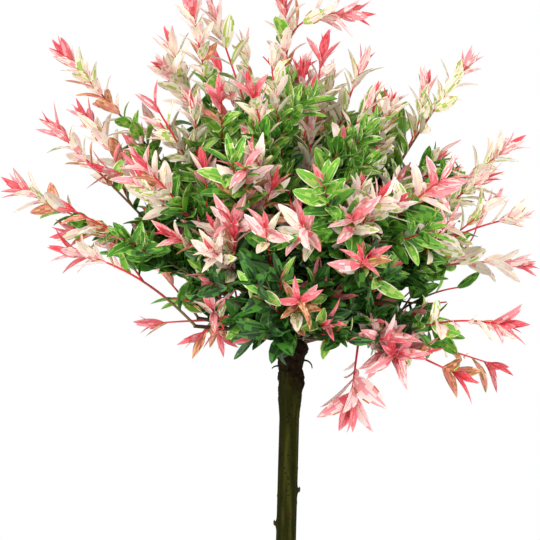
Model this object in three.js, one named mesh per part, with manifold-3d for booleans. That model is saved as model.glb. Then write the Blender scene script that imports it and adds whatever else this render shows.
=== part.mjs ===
// A dappled willow grown as a small standard in a plain clay pot, at its real size in millimetres.
// +X is to the right of the usual view, +Y runs away from the viewer and +Z is up.
// The origin is the middle of the pot's flat underside, where the plant stands.
import * as THREE from "three";
import { mergeVertices } from "three/addons/utils/BufferGeometryUtils.js";
import Module from "manifold-3d";

const wasm = await Module();
wasm.setup();

// The pot: a thrown clay cone with a thick rim band, filled with compost almost to the rim
const POT_HEIGHT = 205;
const POT_FOOT_RADIUS = 82;
const POT_RIM_RADIUS = 120;
const POT_WALL = 9;
const POT_FLOOR = 12;
const RIM_BAND_HEIGHT = 38;
const RIM_BAND_STEP = 7;
const POT_SIDES = 30;
const DRAIN_HOLES = 4;
const DRAIN_HOLE_RADIUS = 6;
const DRAIN_RING_RADIUS = 42;
const SOIL_TOP = 183;

// Pieces that rest on each other keep this clearance
const GAP = 0.3;

// The stem: a straight rod with a root flare, a graft swelling and the knuckle that the boughs spring from
const STEM_HEIGHT = 600;
const STEM_RADIUS = 11;
const STEM_LEAN = 16;
const FLARE_RADIUS = 19;
const FLARE_HEIGHT = 34;
const FLARE_LOBES = 5;
const GRAFT_RADIUS = 13.2;
const KNUCKLE_RADIUS = 18;
const STEM_SIDES = 14;
const HEART = new THREE.Vector3(STEM_LEAN, 0, SOIL_TOP + STEM_HEIGHT);

// Old bud scars and the graft's heel on the stem: height above the soil, turn in degrees and size
const SCARS = [
  { height: 558, turn: 0, size: 7 },
  { height: 437, turn: 8, size: 4 },
  { height: 400, turn: 176, size: 4 },
  { height: 236, turn: 300, size: 3.6 },
  { height: 128, turn: 120, size: 4 },
];

// The boughs and the foliage stand in rings round the knuckle, and one of each stands on its top
const RINGS = [
  { name: "low", first: 30, rise: 12, halfTurn: 20, halfRise: 11, shoots: 6, inner: 2 },
  { name: "middle", first: 0, rise: 36, halfTurn: 24, halfRise: 11, shoots: 6, inner: 2 },
  { name: "high", first: 0, rise: 60, halfTurn: 38, halfRise: 10, shoots: 6, inner: 1 },
  { name: "top", first: 0, rise: 90, halfTurn: 180, halfRise: 13, shoots: 8, inner: 1 },
];
const SIDES_OF_RING = {
  low: ["back_right", "back", "back_left", "front_left", "front", "front_right"],
  middle: ["right", "back_right", "back_left", "left", "front_left", "front_right"],
  high: ["right", "back", "left", "front"],
  top: ["middle"],
};
const CROWN_TILT = 4;
const BOUGH_END = 60;
const BOUGH_FOOT_RADIUS = 4;
const BOUGH_TIP_RADIUS = 3.2;
const BOUGH_SIDES = 5;
const BOUGH_LIFT = 0.14;
const STEM_OF_MASS = 64;
const MASS_STEM_TIP_RADIUS = 3;
const FIRST_SHOOT = 0.1;

// How far the shoots reach from the knuckle at each rise in degrees, on the right and on the left
const RIGHT_REACH = [[-45, 110], [-15, 200], [2, 250], [17, 285], [40, 315], [58, 360], [90, 385]];
const LEFT_REACH = [[-45, 90], [0, 125], [7, 175], [22, 280], [42, 370], [60, 385], [90, 385]];
const OUTER_REACH = [0.74, 1];
const INNER_REACH = [0.42, 0.6];

// The usual view's place. The long shoots and the gaps are measured as they are seen from it.
const EYE = new THREE.Vector3(-7, -2796, 1010);

// The long shoots that stand out of the outline: across and up from the knuckle, and the turn
// in degrees that takes each off the plane of the view
const LEADERS = [
  [241, -30, 28], [206, -46, -26], [258, 14, -34], [125, -30, -38], [62, -92, -48],
  [272, 83, 6], [268, 140, -14], [230, 190, -8], [252, 223, 9], [172, 212, 16],
  [202, 317, 5], [114, 278, -24], [85, 328, 20], [38, 344, -12], [12, 318, -60], [-92, 382, -8],
  [-172, 20, -28], [-122, -4, 30], [-262, 103, 12], [-318, 179, -4], [-276, 251, 8],
  [-238, 264, -18], [-263, 333, 3], [-166, 289, 22], [-139, 346, -10], [-116, 399, 12],
  [-56, 344, -30], [-8, 401, 0],
];

// Gaps between the shoots, as ellipses: across, up, and half of the width and height
const SKY = [
  [-206, 157, 38, 15], [-199, 57, 58, 14], [-155, 64, 40, 15], [-176, 49, 20, 13], [-118, 25, 32, 14],
  [-32, 316, 10, 14], [24, -22, 10, 24], [74, -16, 9, 15], [108, -34, 13, 14], [150, -32, 25, 14],
  [186, 57, 30, 12], [226, 43, 38, 11], [190, 36, 24, 11], [124, 57, 15, 9], [236, 112, 24, 9],
  [173, 234, 15, 17], [70, 274, 12, 13],
];

// Shoots are thin rods with opposite pairs of leaves, each pair crosswise to the last
const SHOOT_RADIUS = 2;
const SHOOT_TIP_RADIUS = 1.6;
const SHOOT_SIDES = 3;
const SHOOT_STEPS = 2;
const LEFT_ARCH = 0;
const RIGHT_ARCH = 0.26;
const HANGS_BELOW = -0.2;
const ARCHES_ABOVE = 0.25;
const BEND_AT = 0.45;
const MOST_BARE = 0.7;
const SHOWS_AT = 0.75;
const PAIRS = 4;
const LAST_PAIR = 12;
const PAIR_SPACING = 39;
const LEAF_LENGTH = 62;
const LEAF_WIDTH = 34;
const LEAF_THICKNESS = 2;
const LEAF_ROOT = 0.3;
const LEAF_NECK = 1.2;
const LEAF_FOLD = 2.5;
const LEAF_DROOP = 1;
const LEAF_SPACING = 8;
const INNER_LEAF_SIZE = 1;
const END_LEAF_SIZE = 0.8;
const END_LEAF_SUNK = 1.5;
const FIRST_PAIR_AT = 0.12;
const WIDEST_AT = 0.46;
const SEEN_STATIONS = [0.55, 1];
const SPREAD_AT_FOOT = 48;
const SPREAD_AT_TIP = 28;
const SPACE_MARGIN = 0.5;
const LIMB_CLEARANCE = 1.2;

const GOLDEN_ANGLE = Math.PI * (3 - Math.sqrt(5));
const UP = new THREE.Vector3(0, 0, 1);
const radians = THREE.MathUtils.degToRad;

// A repeatable number from 0 to 1 for each pair of counters: the crown's seed
function chance(a, b) {
  const wave = Math.sin(a * 127.1 + b * 311.7 + 74.7) * 43758.5453;
  return wave - Math.floor(wave);
}

// A closed three.js geometry as a solid. Faces that shrink to a line at a pole are dropped.
function solidOf(geometry) {
  const bare = geometry.clone();
  bare.deleteAttribute("normal");
  bare.deleteAttribute("uv");
  const merged = mergeVertices(bare, 1e-4);
  const corners = Array.from(merged.index.array);
  const kept = [];
  for (let i = 0; i < corners.length; i += 3) {
    const [a, b, c] = corners.slice(i, i + 3);
    if (a !== b && b !== c && c !== a) kept.push(a, b, c);
  }
  const vertProperties = new Float32Array(merged.getAttribute("position").array);
  const triVerts = new Uint32Array(kept);
  return new wasm.Manifold(new wasm.Mesh({ numProp: 3, vertProperties, triVerts }));
}

// The outer skin of a solid's largest piece. Hollows sealed by the fusing are filled, scraps are dropped.
function outerSkin(vertices, triangles) {
  const parent = Array.from({ length: triangles.length / 3 }, (_, i) => i);
  const root = (i) => {
    while (parent[i] !== i) i = parent[i] = parent[parent[i]];
    return i;
  };
  const seen = new Map();
  triangles.forEach((from, i) => {
    const face = Math.floor(i / 3);
    const to = triangles[face * 3 + ((i + 1) % 3)];
    const back = seen.get(`${to}-${from}`);
    if (back !== undefined) parent[root(face)] = root(back);
    seen.set(`${from}-${to}`, face);
  });
  const skins = new Map();
  const [a, b, c] = [new THREE.Vector3(), new THREE.Vector3(), new THREE.Vector3()];
  for (let face = 0; face < parent.length; face++) {
    const skin = skins.get(root(face)) ?? { volume: 0, triangles: [] };
    const own = Array.from(triangles.slice(face * 3, face * 3 + 3));
    [a, b, c].forEach((corner, k) => corner.fromArray(vertices, own[k] * 3));
    skin.volume += a.dot(b.cross(c)) / 6;
    skin.triangles.push(...own);
    skins.set(root(face), skin);
  }
  return [...skins.values()].reduce((best, skin) => (skin.volume > best.volume ? skin : best)).triangles;
}

// A solid as a named mesh
function meshOf(name, solid, material) {
  const { vertProperties, triVerts } = solid.getMesh();
  const raw = new THREE.BufferGeometry();
  raw.setAttribute("position", new THREE.BufferAttribute(vertProperties, 3));
  raw.setIndex(new THREE.BufferAttribute(triVerts, 1));
  const geometry = mergeVertices(raw, 1e-3);
  const vertices = geometry.getAttribute("position").array;
  geometry.setIndex(outerSkin(vertices, geometry.index.array));
  geometry.computeVertexNormals();
  const mesh = new THREE.Mesh(geometry, material);
  mesh.name = name;
  return mesh;
}

// A turned solid from a profile of [radius, height] pairs that runs up the outside and back to the axis
function turned(profile, sides) {
  const points = profile.map(([radius, height]) => new THREE.Vector2(radius, height));
  return new THREE.LatheGeometry(points, sides).rotateX(Math.PI / 2);
}

// A limb that follows a curve and tapers evenly from one radius to the other
function limb(curve, footRadius, tipRadius, sides, steps) {
  const geometry = new THREE.CylinderGeometry(1, 1, 1, sides, steps);
  const frames = curve.computeFrenetFrames(steps, false);
  const position = geometry.getAttribute("position");
  for (let i = 0; i < position.count; i++) {
    const along = 0.5 - position.getY(i);
    const step = Math.round(along * steps);
    const radius = THREE.MathUtils.lerp(footRadius, tipRadius, along);
    const place = curve
      .getPointAt(step / steps)
      .addScaledVector(frames.normals[step], position.getX(i) * radius)
      .addScaledVector(frames.binormals[step], position.getZ(i) * radius);
    position.setXYZ(i, place.x, place.y, place.z);
  }
  return geometry;
}

// A direction from a turn round the vertical and a rise above the level
function heading(turn, rise) {
  const level = Math.cos(rise);
  return new THREE.Vector3(Math.cos(turn) * level, Math.sin(turn) * level, Math.sin(rise));
}

function fromHeart(direction, distance) {
  return HEART.clone().addScaledVector(direction, distance);
}

// Straight-line reading of a [rise, reach] table
function readReach(table, rise) {
  const last = table.length - 1;
  if (rise <= table[0][0]) return table[0][1];
  if (rise >= table[last][0]) return table[last][1];
  const i = table.findIndex(([station]) => station > rise);
  const [lowRise, lowReach] = table[i - 1];
  const [highRise, highReach] = table[i];
  return THREE.MathUtils.mapLinear(rise, lowRise, highRise, lowReach, highReach);
}

// The crown's outline: the right and left profiles, blended round the crown
function outline(turn, rise) {
  const rightward = 0.5 + 0.5 * Math.cos(turn);
  const degrees = THREE.MathUtils.radToDeg(rise);
  return THREE.MathUtils.lerp(
    readReach(LEFT_REACH, degrees),
    readReach(RIGHT_REACH, degrees),
    rightward,
  );
}

// Every place in the crown that has a bough and a mass of foliage
function crownPlaces() {
  return RINGS.flatMap((ring) =>
    SIDES_OF_RING[ring.name].map((side, i, sides) => {
      const turn = radians(ring.first) + (i / sides.length) * 2 * Math.PI;
      const level = Math.cos(radians(ring.rise));
      const rise = radians(ring.rise - CROWN_TILT * Math.cos(turn) * level * level);
      return { name: `${ring.name}_${side}`, ring, turn, rise, axis: heading(turn, rise) };
    }),
  ).map((place, number) => ({ ...place, number }));
}

// True where a point lies inside a place's own cone of the crown, clear of every neighbour's cone
function isInside(point, place, places) {
  const arm = point.clone().sub(HEART);
  return places.every((other) => {
    if (other === place) return true;
    const across = place.axis.clone().sub(other.axis).normalize();
    return arm.dot(across) > SPACE_MARGIN;
  });
}

// True where a point is seen in one of the gaps
function isInSky(point) {
  const seen = EYE.clone().lerp(point, EYE.y / (EYE.y - point.y)).sub(HEART);
  return SKY.some(([across, up, halfWidth, halfHeight]) =>
    Math.hypot((seen.x - across) / halfWidth, (seen.z - up) / halfHeight) < 1,
  );
}

function pot() {
  const bandFoot = POT_HEIGHT - RIM_BAND_HEIGHT;
  const wallTop = POT_RIM_RADIUS - RIM_BAND_STEP;
  const profile = [
    [0, 0],
    [POT_FOOT_RADIUS, 0],
    [wallTop - 3, bandFoot],
    [POT_RIM_RADIUS - 2, bandFoot + 2],
    [POT_RIM_RADIUS, POT_HEIGHT - 4],
    [POT_RIM_RADIUS - 4, POT_HEIGHT],
    [wallTop - POT_WALL + 5, POT_HEIGHT],
    [wallTop - POT_WALL, bandFoot],
    [POT_FOOT_RADIUS - POT_WALL + 4, POT_FLOOR],
    [0, POT_FLOOR],
  ];
  let solid = solidOf(turned(profile, POT_SIDES));
  for (let i = 0; i < DRAIN_HOLES; i++) {
    const turn = ((i + 0.5) / DRAIN_HOLES) * 2 * Math.PI;
    const hole = new THREE.CylinderGeometry(DRAIN_HOLE_RADIUS, DRAIN_HOLE_RADIUS, POT_FLOOR * 3, 12)
      .rotateX(Math.PI / 2)
      .translate(Math.cos(turn) * DRAIN_RING_RADIUS, Math.sin(turn) * DRAIN_RING_RADIUS, 0);
    solid = solid.subtract(solidOf(hole));
  }
  return solid;
}

// The compost fills the pot's inside, a clearance away from its wall, with a level top
function soil() {
  const bandFoot = POT_HEIGHT - RIM_BAND_HEIGHT;
  const wallTop = POT_RIM_RADIUS - RIM_BAND_STEP;
  const neck = wallTop - POT_WALL;
  const foot = POT_FOOT_RADIUS - POT_WALL + 4;
  const clear = 2 * GAP;
  const opening = (5 / RIM_BAND_HEIGHT) * (SOIL_TOP - bandFoot);
  const profile = [
    [0, POT_FLOOR + GAP],
    [foot - clear, POT_FLOOR + GAP],
    [neck - clear, bandFoot],
    [neck - clear + opening, SOIL_TOP],
    [0, SOIL_TOP],
  ];
  return solidOf(turned(profile, POT_SIDES));
}

// The stem's radius at a height above the soil: flare, rod, graft swelling and knuckle
function stemRadius(height) {
  const flare = (FLARE_RADIUS - STEM_RADIUS) * Math.exp(-height / (FLARE_HEIGHT / 3));
  const graft = (GRAFT_RADIUS - STEM_RADIUS) * THREE.MathUtils.smoothstep(height, 515, 545);
  const knuckle = (KNUCKLE_RADIUS - GRAFT_RADIUS) * THREE.MathUtils.smoothstep(height, 574, 594);
  return STEM_RADIUS + flare + graft + knuckle;
}

// The stem leans evenly to the right as it climbs, and bows back a little on the way
function stemAxis(height) {
  const share = height / STEM_HEIGHT;
  return new THREE.Vector2(STEM_LEAN * share, Math.sin(share * Math.PI) * 2.5);
}

function trunk() {
  const heights = [0, 5, 14, 30, 60, 150, 260, 370, 460, 515, 530, 545, 574, 584, 594, 600];
  const profile = heights.map((height) => [stemRadius(height), height]);
  const cap = KNUCKLE_RADIUS;
  const capRings = [0.35, 0.7, 1.05].map((angle) => [
    cap * Math.cos(angle), STEM_HEIGHT + cap * Math.sin(angle),
  ]);
  const geometry = turned([[0, 0], ...profile, ...capRings, [0, STEM_HEIGHT + cap]], STEM_SIDES);
  const position = geometry.getAttribute("position");
  for (let i = 0; i < position.count; i++) {
    const height = position.getZ(i);
    const turn = Math.atan2(position.getY(i), position.getX(i));
    const lobe = 1 + 0.14 * Math.cos(FLARE_LOBES * turn) * Math.exp(-height / FLARE_HEIGHT);
    const axis = stemAxis(Math.min(height, STEM_HEIGHT));
    position.setXYZ(
      i,
      axis.x + position.getX(i) * lobe,
      axis.y + position.getY(i) * lobe,
      SOIL_TOP + GAP + height,
    );
  }
  let solid = solidOf(geometry);
  for (const scar of SCARS) {
    const axis = stemAxis(scar.height);
    const out = stemRadius(scar.height) - scar.size * 0.35;
    const turn = radians(scar.turn);
    const knob = new THREE.SphereGeometry(scar.size, 6, 5)
      .scale(0.75, 0.9, 1.2)
      .rotateZ(turn)
      .translate(
        axis.x + Math.cos(turn) * out,
        axis.y + Math.sin(turn) * out,
        SOIL_TOP + scar.height,
      );
    solid = solid.add(solidOf(knob));
  }
  return solid;
}

// The line of a bough: out of the knuckle a little steeper than its place's axis, then along it
function boughCurve(place) {
  const lift = place.axis.clone().addScaledVector(UP, BOUGH_LIFT).normalize();
  return new THREE.QuadraticBezierCurve3(
    fromHeart(place.axis, KNUCKLE_RADIUS - 5),
    fromHeart(lift, BOUGH_END * 0.55),
    fromHeart(place.axis, BOUGH_END),
  );
}

// A bough's foot is hollowed to seat on the round knuckle, a clearance away from it
function bough(place) {
  const rod = limb(boughCurve(place), BOUGH_FOOT_RADIUS, BOUGH_TIP_RADIUS, BOUGH_SIDES, 3);
  const seat = new THREE.SphereGeometry(KNUCKLE_RADIUS + 3 * GAP, 14, 10)
    .rotateX(Math.PI / 2)
    .translate(HEART.x, HEART.y, HEART.z + GAP);
  return solidOf(rod).subtract(solidOf(seat));
}

// The room that the limbs take up, a little fatter than they are, which no leaf may enter
function limbRoom(places) {
  const height = SOIL_TOP + STEM_HEIGHT / 2;
  const around = KNUCKLE_RADIUS + LIMB_CLEARANCE;
  const rod = new THREE.CylinderGeometry(around, around, STEM_HEIGHT, 12)
    .rotateX(Math.PI / 2)
    .translate(STEM_LEAN * 0.9, 0, height);
  const knuckle = new THREE.SphereGeometry(around, 12, 8).translate(HEART.x, HEART.y, HEART.z);
  let room = solidOf(rod).add(solidOf(knuckle));
  for (const place of places) {
    const foot = BOUGH_FOOT_RADIUS + LIMB_CLEARANCE;
    const tip = BOUGH_TIP_RADIUS + LIMB_CLEARANCE;
    room = room.add(solidOf(limb(boughCurve(place), foot, tip, BOUGH_SIDES, 3)));
  }
  return room;
}

// The stem of a mass carries straight on from its bough's tip, a clearance away from it
function massStem(place) {
  const way = boughCurve(place).getTangentAt(1);
  const tip = fromHeart(place.axis, BOUGH_END);
  return new THREE.LineCurve3(
    tip.clone().addScaledVector(way, GAP),
    tip.clone().addScaledVector(way, STEM_OF_MASS),
  );
}

// The tips that a mass's shoots reach for: the leaders that fall in its cone, then an even spiral
// round its axis, and inside that a few short shoots that fill the crown's heart
function shootAims(place, places) {
  const { ring, number, turn, rise } = place;
  const aims = LEADERS.map(([across, up, off]) => {
    const depth = across * Math.tan(radians(off));
    const flat = new THREE.Vector3(across, 0, up).add(HEART);
    return { tip: EYE.clone().lerp(flat, 1 - depth / EYE.y), size: 1 };
  }).filter(({ tip }) => isInside(tip, place, places));
  const outer = ring.shoots - ring.inner;
  for (let k = aims.length; k < ring.shoots; k++) {
    const isInner = k >= outer;
    const spin = k * GOLDEN_ANGLE + number * 1.9;
    const aside = Math.sqrt(((k % outer) + 0.6) / outer);
    const tilt = radians(ring.halfRise) * aside;
    const swing = (radians(ring.halfTurn) * aside * Math.cos(spin)) / Math.cos(rise * 0.6);
    const isTop = ring.name === "top";
    const aimTurn = isTop ? spin : turn + swing;
    const aimRise = isTop ? rise - tilt : rise + tilt * Math.sin(spin);
    const least = isInner ? INNER_REACH[0] : OUTER_REACH[0];
    const most = isInner ? INNER_REACH[1] : OUTER_REACH[1];
    const share = THREE.MathUtils.lerp(least, most, chance(number, k));
    const tip = fromHeart(heading(aimTurn, aimRise), outline(aimTurn, aimRise) * share);
    if (isInSky(tip) || isInSky(HEART.clone().lerp(tip, SHOWS_AT))) continue;
    aims.push({ tip, size: isInner ? INNER_LEAF_SIZE : 1 });
  }
  return aims.sort((a, b) => a.tip.distanceTo(HEART) - b.tip.distanceTo(HEART));
}

// A shoot leaves the mass's stem, arches over and ends short of its tip by the leaf that ends it.
// Shoots on the right arch most, and those that hang below the level hardly arch at all.
function shootCurve(place, aim, share) {
  const start = massStem(place).getPointAt(THREE.MathUtils.lerp(FIRST_SHOOT, 0.97, share));
  const span = start.distanceTo(aim.tip);
  const bare = 0.9 * END_LEAF_SIZE * aim.size * LEAF_LENGTH;
  const way = aim.tip.clone().sub(HEART).normalize();
  const fullArch = THREE.MathUtils.lerp(LEFT_ARCH, RIGHT_ARCH, 0.5 + 0.5 * way.x);
  const arch = fullArch * THREE.MathUtils.smoothstep(way.z, HANGS_BELOW, ARCHES_ABOVE);
  const lift = span * arch * Math.cos(place.rise);
  const bend = start.clone().lerp(aim.tip, BEND_AT).addScaledVector(UP, lift);
  const end = 1 - Math.min(bare / span, MOST_BARE);
  const near = start.clone().lerp(bend, end);
  const far = bend.clone().lerp(aim.tip, end);
  return new THREE.QuadraticBezierCurve3(start, near, near.clone().lerp(far, end));
}

// A leaf is a folded blade of eight faces. Its root is an upright edge sunk past the shoot's middle.
function leaf({ foot, way, face, size }, root = -LEAF_ROOT) {
  const length = LEAF_LENGTH * size;
  const geometry = new THREE.OctahedronGeometry(1);
  const position = geometry.getAttribute("position");
  for (let i = 0; i < position.count; i++) {
    const [x, y, z] = [position.getX(i), position.getY(i), position.getZ(i)];
    const isRoot = x < -0.5 || z < -0.5;
    const isSide = Math.abs(y) > 0.5;
    if (isRoot) position.setXYZ(i, root, 0, z < -0.5 ? -LEAF_NECK / 2 : LEAF_NECK / 2);
    else if (isSide) position.setXYZ(i, WIDEST_AT * length, (y * LEAF_WIDTH * size) / 2, LEAF_FOLD);
    else if (z > 0.5) position.setXYZ(i, WIDEST_AT * length, 0, LEAF_THICKNESS);
    else position.setXYZ(i, length, 0, -LEAF_DROOP);
  }
  const across = face.clone().cross(way);
  const frame = new THREE.Matrix4().makeBasis(way, across, face).setPosition(foot);
  return geometry.applyMatrix4(frame);
}

function corners(geometry) {
  const position = geometry.getAttribute("position");
  return Array.from({ length: position.count }, (_, i) =>
    new THREE.Vector3().fromBufferAttribute(position, i),
  );
}

// The leaves of one shoot: one that ends it, then crosswise pairs back from its tip
function leavesOf({ curve, aim, seed }) {
  const steps = 40;
  const frames = curve.computeFrenetFrames(steps, false);
  const end = curve.getPointAt(1).addScaledVector(frames.tangents[steps], -END_LEAF_SUNK);
  const size = END_LEAF_SIZE * aim.size;
  const leaves = [{ foot: end, way: frames.tangents[steps], face: frames.normals[steps], size }];
  for (let pair = 0; pair < PAIRS; pair++) {
    const share = 1 - (LAST_PAIR + pair * PAIR_SPACING * aim.size) / curve.getLength();
    if (share < FIRST_PAIR_AT) break;
    const step = Math.round(share * steps);
    const tangent = frames.tangents[step];
    const spread = radians(THREE.MathUtils.lerp(SPREAD_AT_FOOT, SPREAD_AT_TIP, share));
    const roll = (pair * Math.PI) / 2 + seed;
    for (const side of [0, 1]) {
      const angle = roll + side * Math.PI;
      const aside = frames.normals[step]
        .clone()
        .multiplyScalar(Math.cos(angle))
        .addScaledVector(frames.binormals[step], Math.sin(angle));
      const way = tangent.clone().multiplyScalar(Math.cos(spread));
      way.addScaledVector(aside, Math.sin(spread));
      const face = tangent.clone().multiplyScalar(Math.sin(spread));
      face.addScaledVector(aside, -Math.cos(spread));
      const size = aim.size * (0.88 + 0.24 * chance(seed, pair * 2 + side));
      leaves.push({ foot: curve.getPointAt(share), way, face, size });
    }
  }
  return leaves;
}

// True where a blade keeps its distance from the blades that already grow there, which it then joins
function joins(blade, grown) {
  const length = LEAF_LENGTH * blade.size;
  const stations = [0.4, 0.7, 1].map((share) =>
    blade.foot.clone().addScaledVector(blade.way, length * share),
  );
  const isCrowded = stations.some((station) =>
    grown.some((other) => other.distanceTo(station) < LEAF_SPACING),
  );
  if (!isCrowded) grown.push(...stations);
  return !isCrowded;
}

// True where a blade's tip or its broad middle would fill a gap
function showsInSky({ foot, way, size }) {
  return SEEN_STATIONS.some((share) =>
    isInSky(foot.clone().addScaledVector(way, LEAF_LENGTH * size * share)),
  );
}

function meets(solid, geometry) {
  return solid.intersect(solidOf(geometry)).getMesh().triVerts.length > 0;
}

// A mass of foliage: its stem, the shoots and their leaves, fused to one solid inside its own cone
function foliage(place, places, limbs) {
  const hasRoom = (geometry) =>
    corners(geometry).every((point) => isInside(point, place, places)) && !meets(limbs, geometry);
  let solid = solidOf(limb(massStem(place), BOUGH_TIP_RADIUS, MASS_STEM_TIP_RADIUS, 4, 1));
  const shoots = [];
  shootAims(place, places).forEach((aim, k, aims) => {
    const curve = shootCurve(place, aim, (k + 1) / aims.length);
    const rod = limb(curve, SHOOT_RADIUS, SHOOT_TIP_RADIUS, SHOOT_SIDES, SHOOT_STEPS);
    if (!hasRoom(rod)) return;
    solid = solid.add(solidOf(rod));
    shoots.push({ curve, aim, seed: place.number * 11 + k });
  });
  const grown = [];
  for (const blade of shoots.reverse().flatMap(leavesOf)) {
    const geometry = leaf(blade);
    const clearOfRoot = leaf(blade, 2.5 * SHOOT_RADIUS);
    if (showsInSky(blade) || !hasRoom(geometry)) continue;
    if (meets(solid, clearOfRoot) || !joins(blade, grown)) continue;
    solid = solid.add(solidOf(geometry));
  }
  return solid;
}

const clay = new THREE.MeshStandardMaterial({ color: 0xb5694a, roughness: 0.85, metalness: 0 });
const compost = new THREE.MeshStandardMaterial({ color: 0x2e2119, roughness: 1, metalness: 0 });
const bark = new THREE.MeshStandardMaterial({ color: 0x4a4a22, roughness: 0.8, metalness: 0 });
const youngBark = new THREE.MeshStandardMaterial({ color: 0x5a3a26, roughness: 0.7, metalness: 0 });
const FOLIAGE_COLOURS = { low: 0x47692c, middle: 0x7c9a58, high: 0xdc9d98, top: 0xe08a8c };

const plant = new THREE.Group();
plant.add(meshOf("pot", pot(), clay));
plant.add(meshOf("soil", soil(), compost));
plant.add(meshOf("trunk", trunk(), bark));
const places = crownPlaces();
const limbs = limbRoom(places);
for (const place of places) {
  const leafy = new THREE.MeshStandardMaterial({
    color: FOLIAGE_COLOURS[place.ring.name], roughness: 0.6, metalness: 0, side: THREE.DoubleSide,
  });
  plant.add(meshOf(`bough_${place.name}`, bough(place), youngBark));
  plant.add(meshOf(`foliage_${place.name}`, foliage(place, places, limbs), leafy));
}

export default plant;
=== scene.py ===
# %% [markdown]
# # A potted dappled willow
#
# This notebook dresses a small willow that is grown as a standard: a bare stem, a round crown of
# pink, cream and green shoots, and a plain clay pot. It is written for someone who is learning
# Blender with Python. Each piece is explained first and then made in a short cell.
#
# The plain solids come from a CAD model. They give every size here: the pot, the stem, the boughs
# and the reach of each shoot. All lengths are in metres, +X is to the right and +Z is up.

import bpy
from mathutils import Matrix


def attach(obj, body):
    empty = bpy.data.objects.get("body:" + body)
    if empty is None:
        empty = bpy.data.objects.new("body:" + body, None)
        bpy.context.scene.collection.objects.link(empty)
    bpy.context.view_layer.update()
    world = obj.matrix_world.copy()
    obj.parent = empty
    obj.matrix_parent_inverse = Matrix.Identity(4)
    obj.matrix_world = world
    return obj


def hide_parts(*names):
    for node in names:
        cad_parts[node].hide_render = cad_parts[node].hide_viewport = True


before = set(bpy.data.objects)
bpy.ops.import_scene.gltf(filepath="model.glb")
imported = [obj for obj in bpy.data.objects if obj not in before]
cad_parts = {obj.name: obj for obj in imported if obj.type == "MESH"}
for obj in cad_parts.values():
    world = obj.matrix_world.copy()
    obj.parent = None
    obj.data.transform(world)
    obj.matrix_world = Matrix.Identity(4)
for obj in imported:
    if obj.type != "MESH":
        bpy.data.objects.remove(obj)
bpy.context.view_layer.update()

# %% Modules used below
import math
from collections import namedtuple

import bmesh
import bpy
import numpy as np
from mathutils import Matrix, Vector

# %% [markdown]
# ## Helpers for colours and materials
#
# Colours are easiest to judge as the numbers of a paint program, from 0 to 255. Blender works with
# linear light, so each one is converted once. Every material here is a Principled shader. Its plain
# values are typed into the shader's own sockets, and only what varies over the surface is linked.

# %% Colours
def linear(red, green, blue):
    """A colour of a paint program as linear light with full cover."""
    channels = []
    for value in (red, green, blue):
        share = value / 255
        channels.append(share / 12.92 if share <= 0.04045 else ((share + 0.055) / 1.055) ** 2.4)
    return (*channels, 1.0)


def grey(share):
    return (share, share, share, 1)


BLACK, WHITE = grey(0), grey(1)

# %% [markdown]
# ## Materials and their noise
#
# A small class keeps a material together with the calls that add nodes to it. The clay, the compost
# and the bark all start from noise that is read in Object coordinates, so it stays with the piece
# and keeps its real size. A colour ramp turns the noise into tones.

# %% A material and its nodes
class Paint:
    """A Principled material with plain values. Its methods add nodes and give their outputs."""

    def __init__(self, name, colour, roughness, specular):
        self.material = bpy.data.materials.new(name)
        self.material.use_nodes = True
        self.material.diffuse_color = colour
        self.tree = self.material.node_tree
        self.shader = self.tree.nodes["Principled BSDF"].inputs
        self.shader["Base Color"].default_value = colour
        self.shader["Roughness"].default_value = roughness
        self.shader["Specular IOR Level"].default_value = specular

    def fill(self, socket, value):
        """Links a node's output to a socket, or types a plain value into it."""
        if isinstance(value, bpy.types.NodeSocket):
            self.tree.links.new(value, socket)
        else:
            socket.default_value = value

    def node(self, kind, *first, **named):
        """A new node. Its first inputs are filled in order, other inputs and settings by name."""
        node = self.tree.nodes.new(kind)
        for key, value in named.items():
            name = key.replace("_", " ")
            if name in node.inputs:
                self.fill(node.inputs[name], value)
            else:
                setattr(node, key, value)
        for socket, value in zip(node.inputs, first):
            self.fill(socket, value)
        return node

    def place(self, stretch=(1, 1, 1)):
        """The object's own coordinates, stretched along its axes."""
        own = self.node("ShaderNodeTexCoord").outputs["Object"]
        return self.node("ShaderNodeMapping", Vector=own, Scale=stretch).outputs["Vector"]

    def noise(self, place, scale, detail=4.0, roughness=0.55):
        node = self.node("ShaderNodeTexNoise", Scale=scale, Detail=detail, Roughness=roughness)
        self.fill(node.inputs["Vector"], place)
        return node.outputs["Fac"]

    def ramp(self, value, *stops):
        """A colour ramp over value. Each stop is a place and a colour."""
        node = self.node("ShaderNodeValToRGB", Fac=value)
        elements = node.color_ramp.elements
        while len(elements) < len(stops):
            elements.new(0.5)
        for element, (place, colour) in zip(elements, stops):
            element.position, element.color = place, colour
        return node.outputs["Color"]

    def tones(self, value, places, colours):
        """A colour ramp through colours of a paint program."""
        return self.ramp(value, *((place, linear(*tone)) for place, tone in zip(places, colours)))

    def mix(self, share, first, second):
        """first where share is 0 and second where share is 1. Each is a colour or an output."""
        node = self.node("ShaderNodeMix", share, data_type="RGBA")
        self.fill(node.inputs[6], first)
        self.fill(node.inputs[7], second)
        return node.outputs[2]

    def finished(self, colour, height, distance, strength=1.0):
        """The material, with its colour linked and a bump made from height."""
        node = self.node("ShaderNodeBump", Height=height, Distance=distance, Strength=strength)
        self.fill(self.shader["Normal"], node.outputs["Normal"])
        self.fill(self.shader["Base Color"], colour)
        return self.material


# %% A mottled finish
def mottled(name, colours, scale, roughness, specular, depth):
    """A material whose three tones drift with noise, over a bump of that noise."""
    paint = Paint(name, linear(*colours[1]), roughness, specular)
    grain = paint.noise(paint.place(), scale, 5, 0.68)
    return paint.finished(paint.tones(grain, (0.30, 0.54, 0.78), colours), grain, depth)


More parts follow.
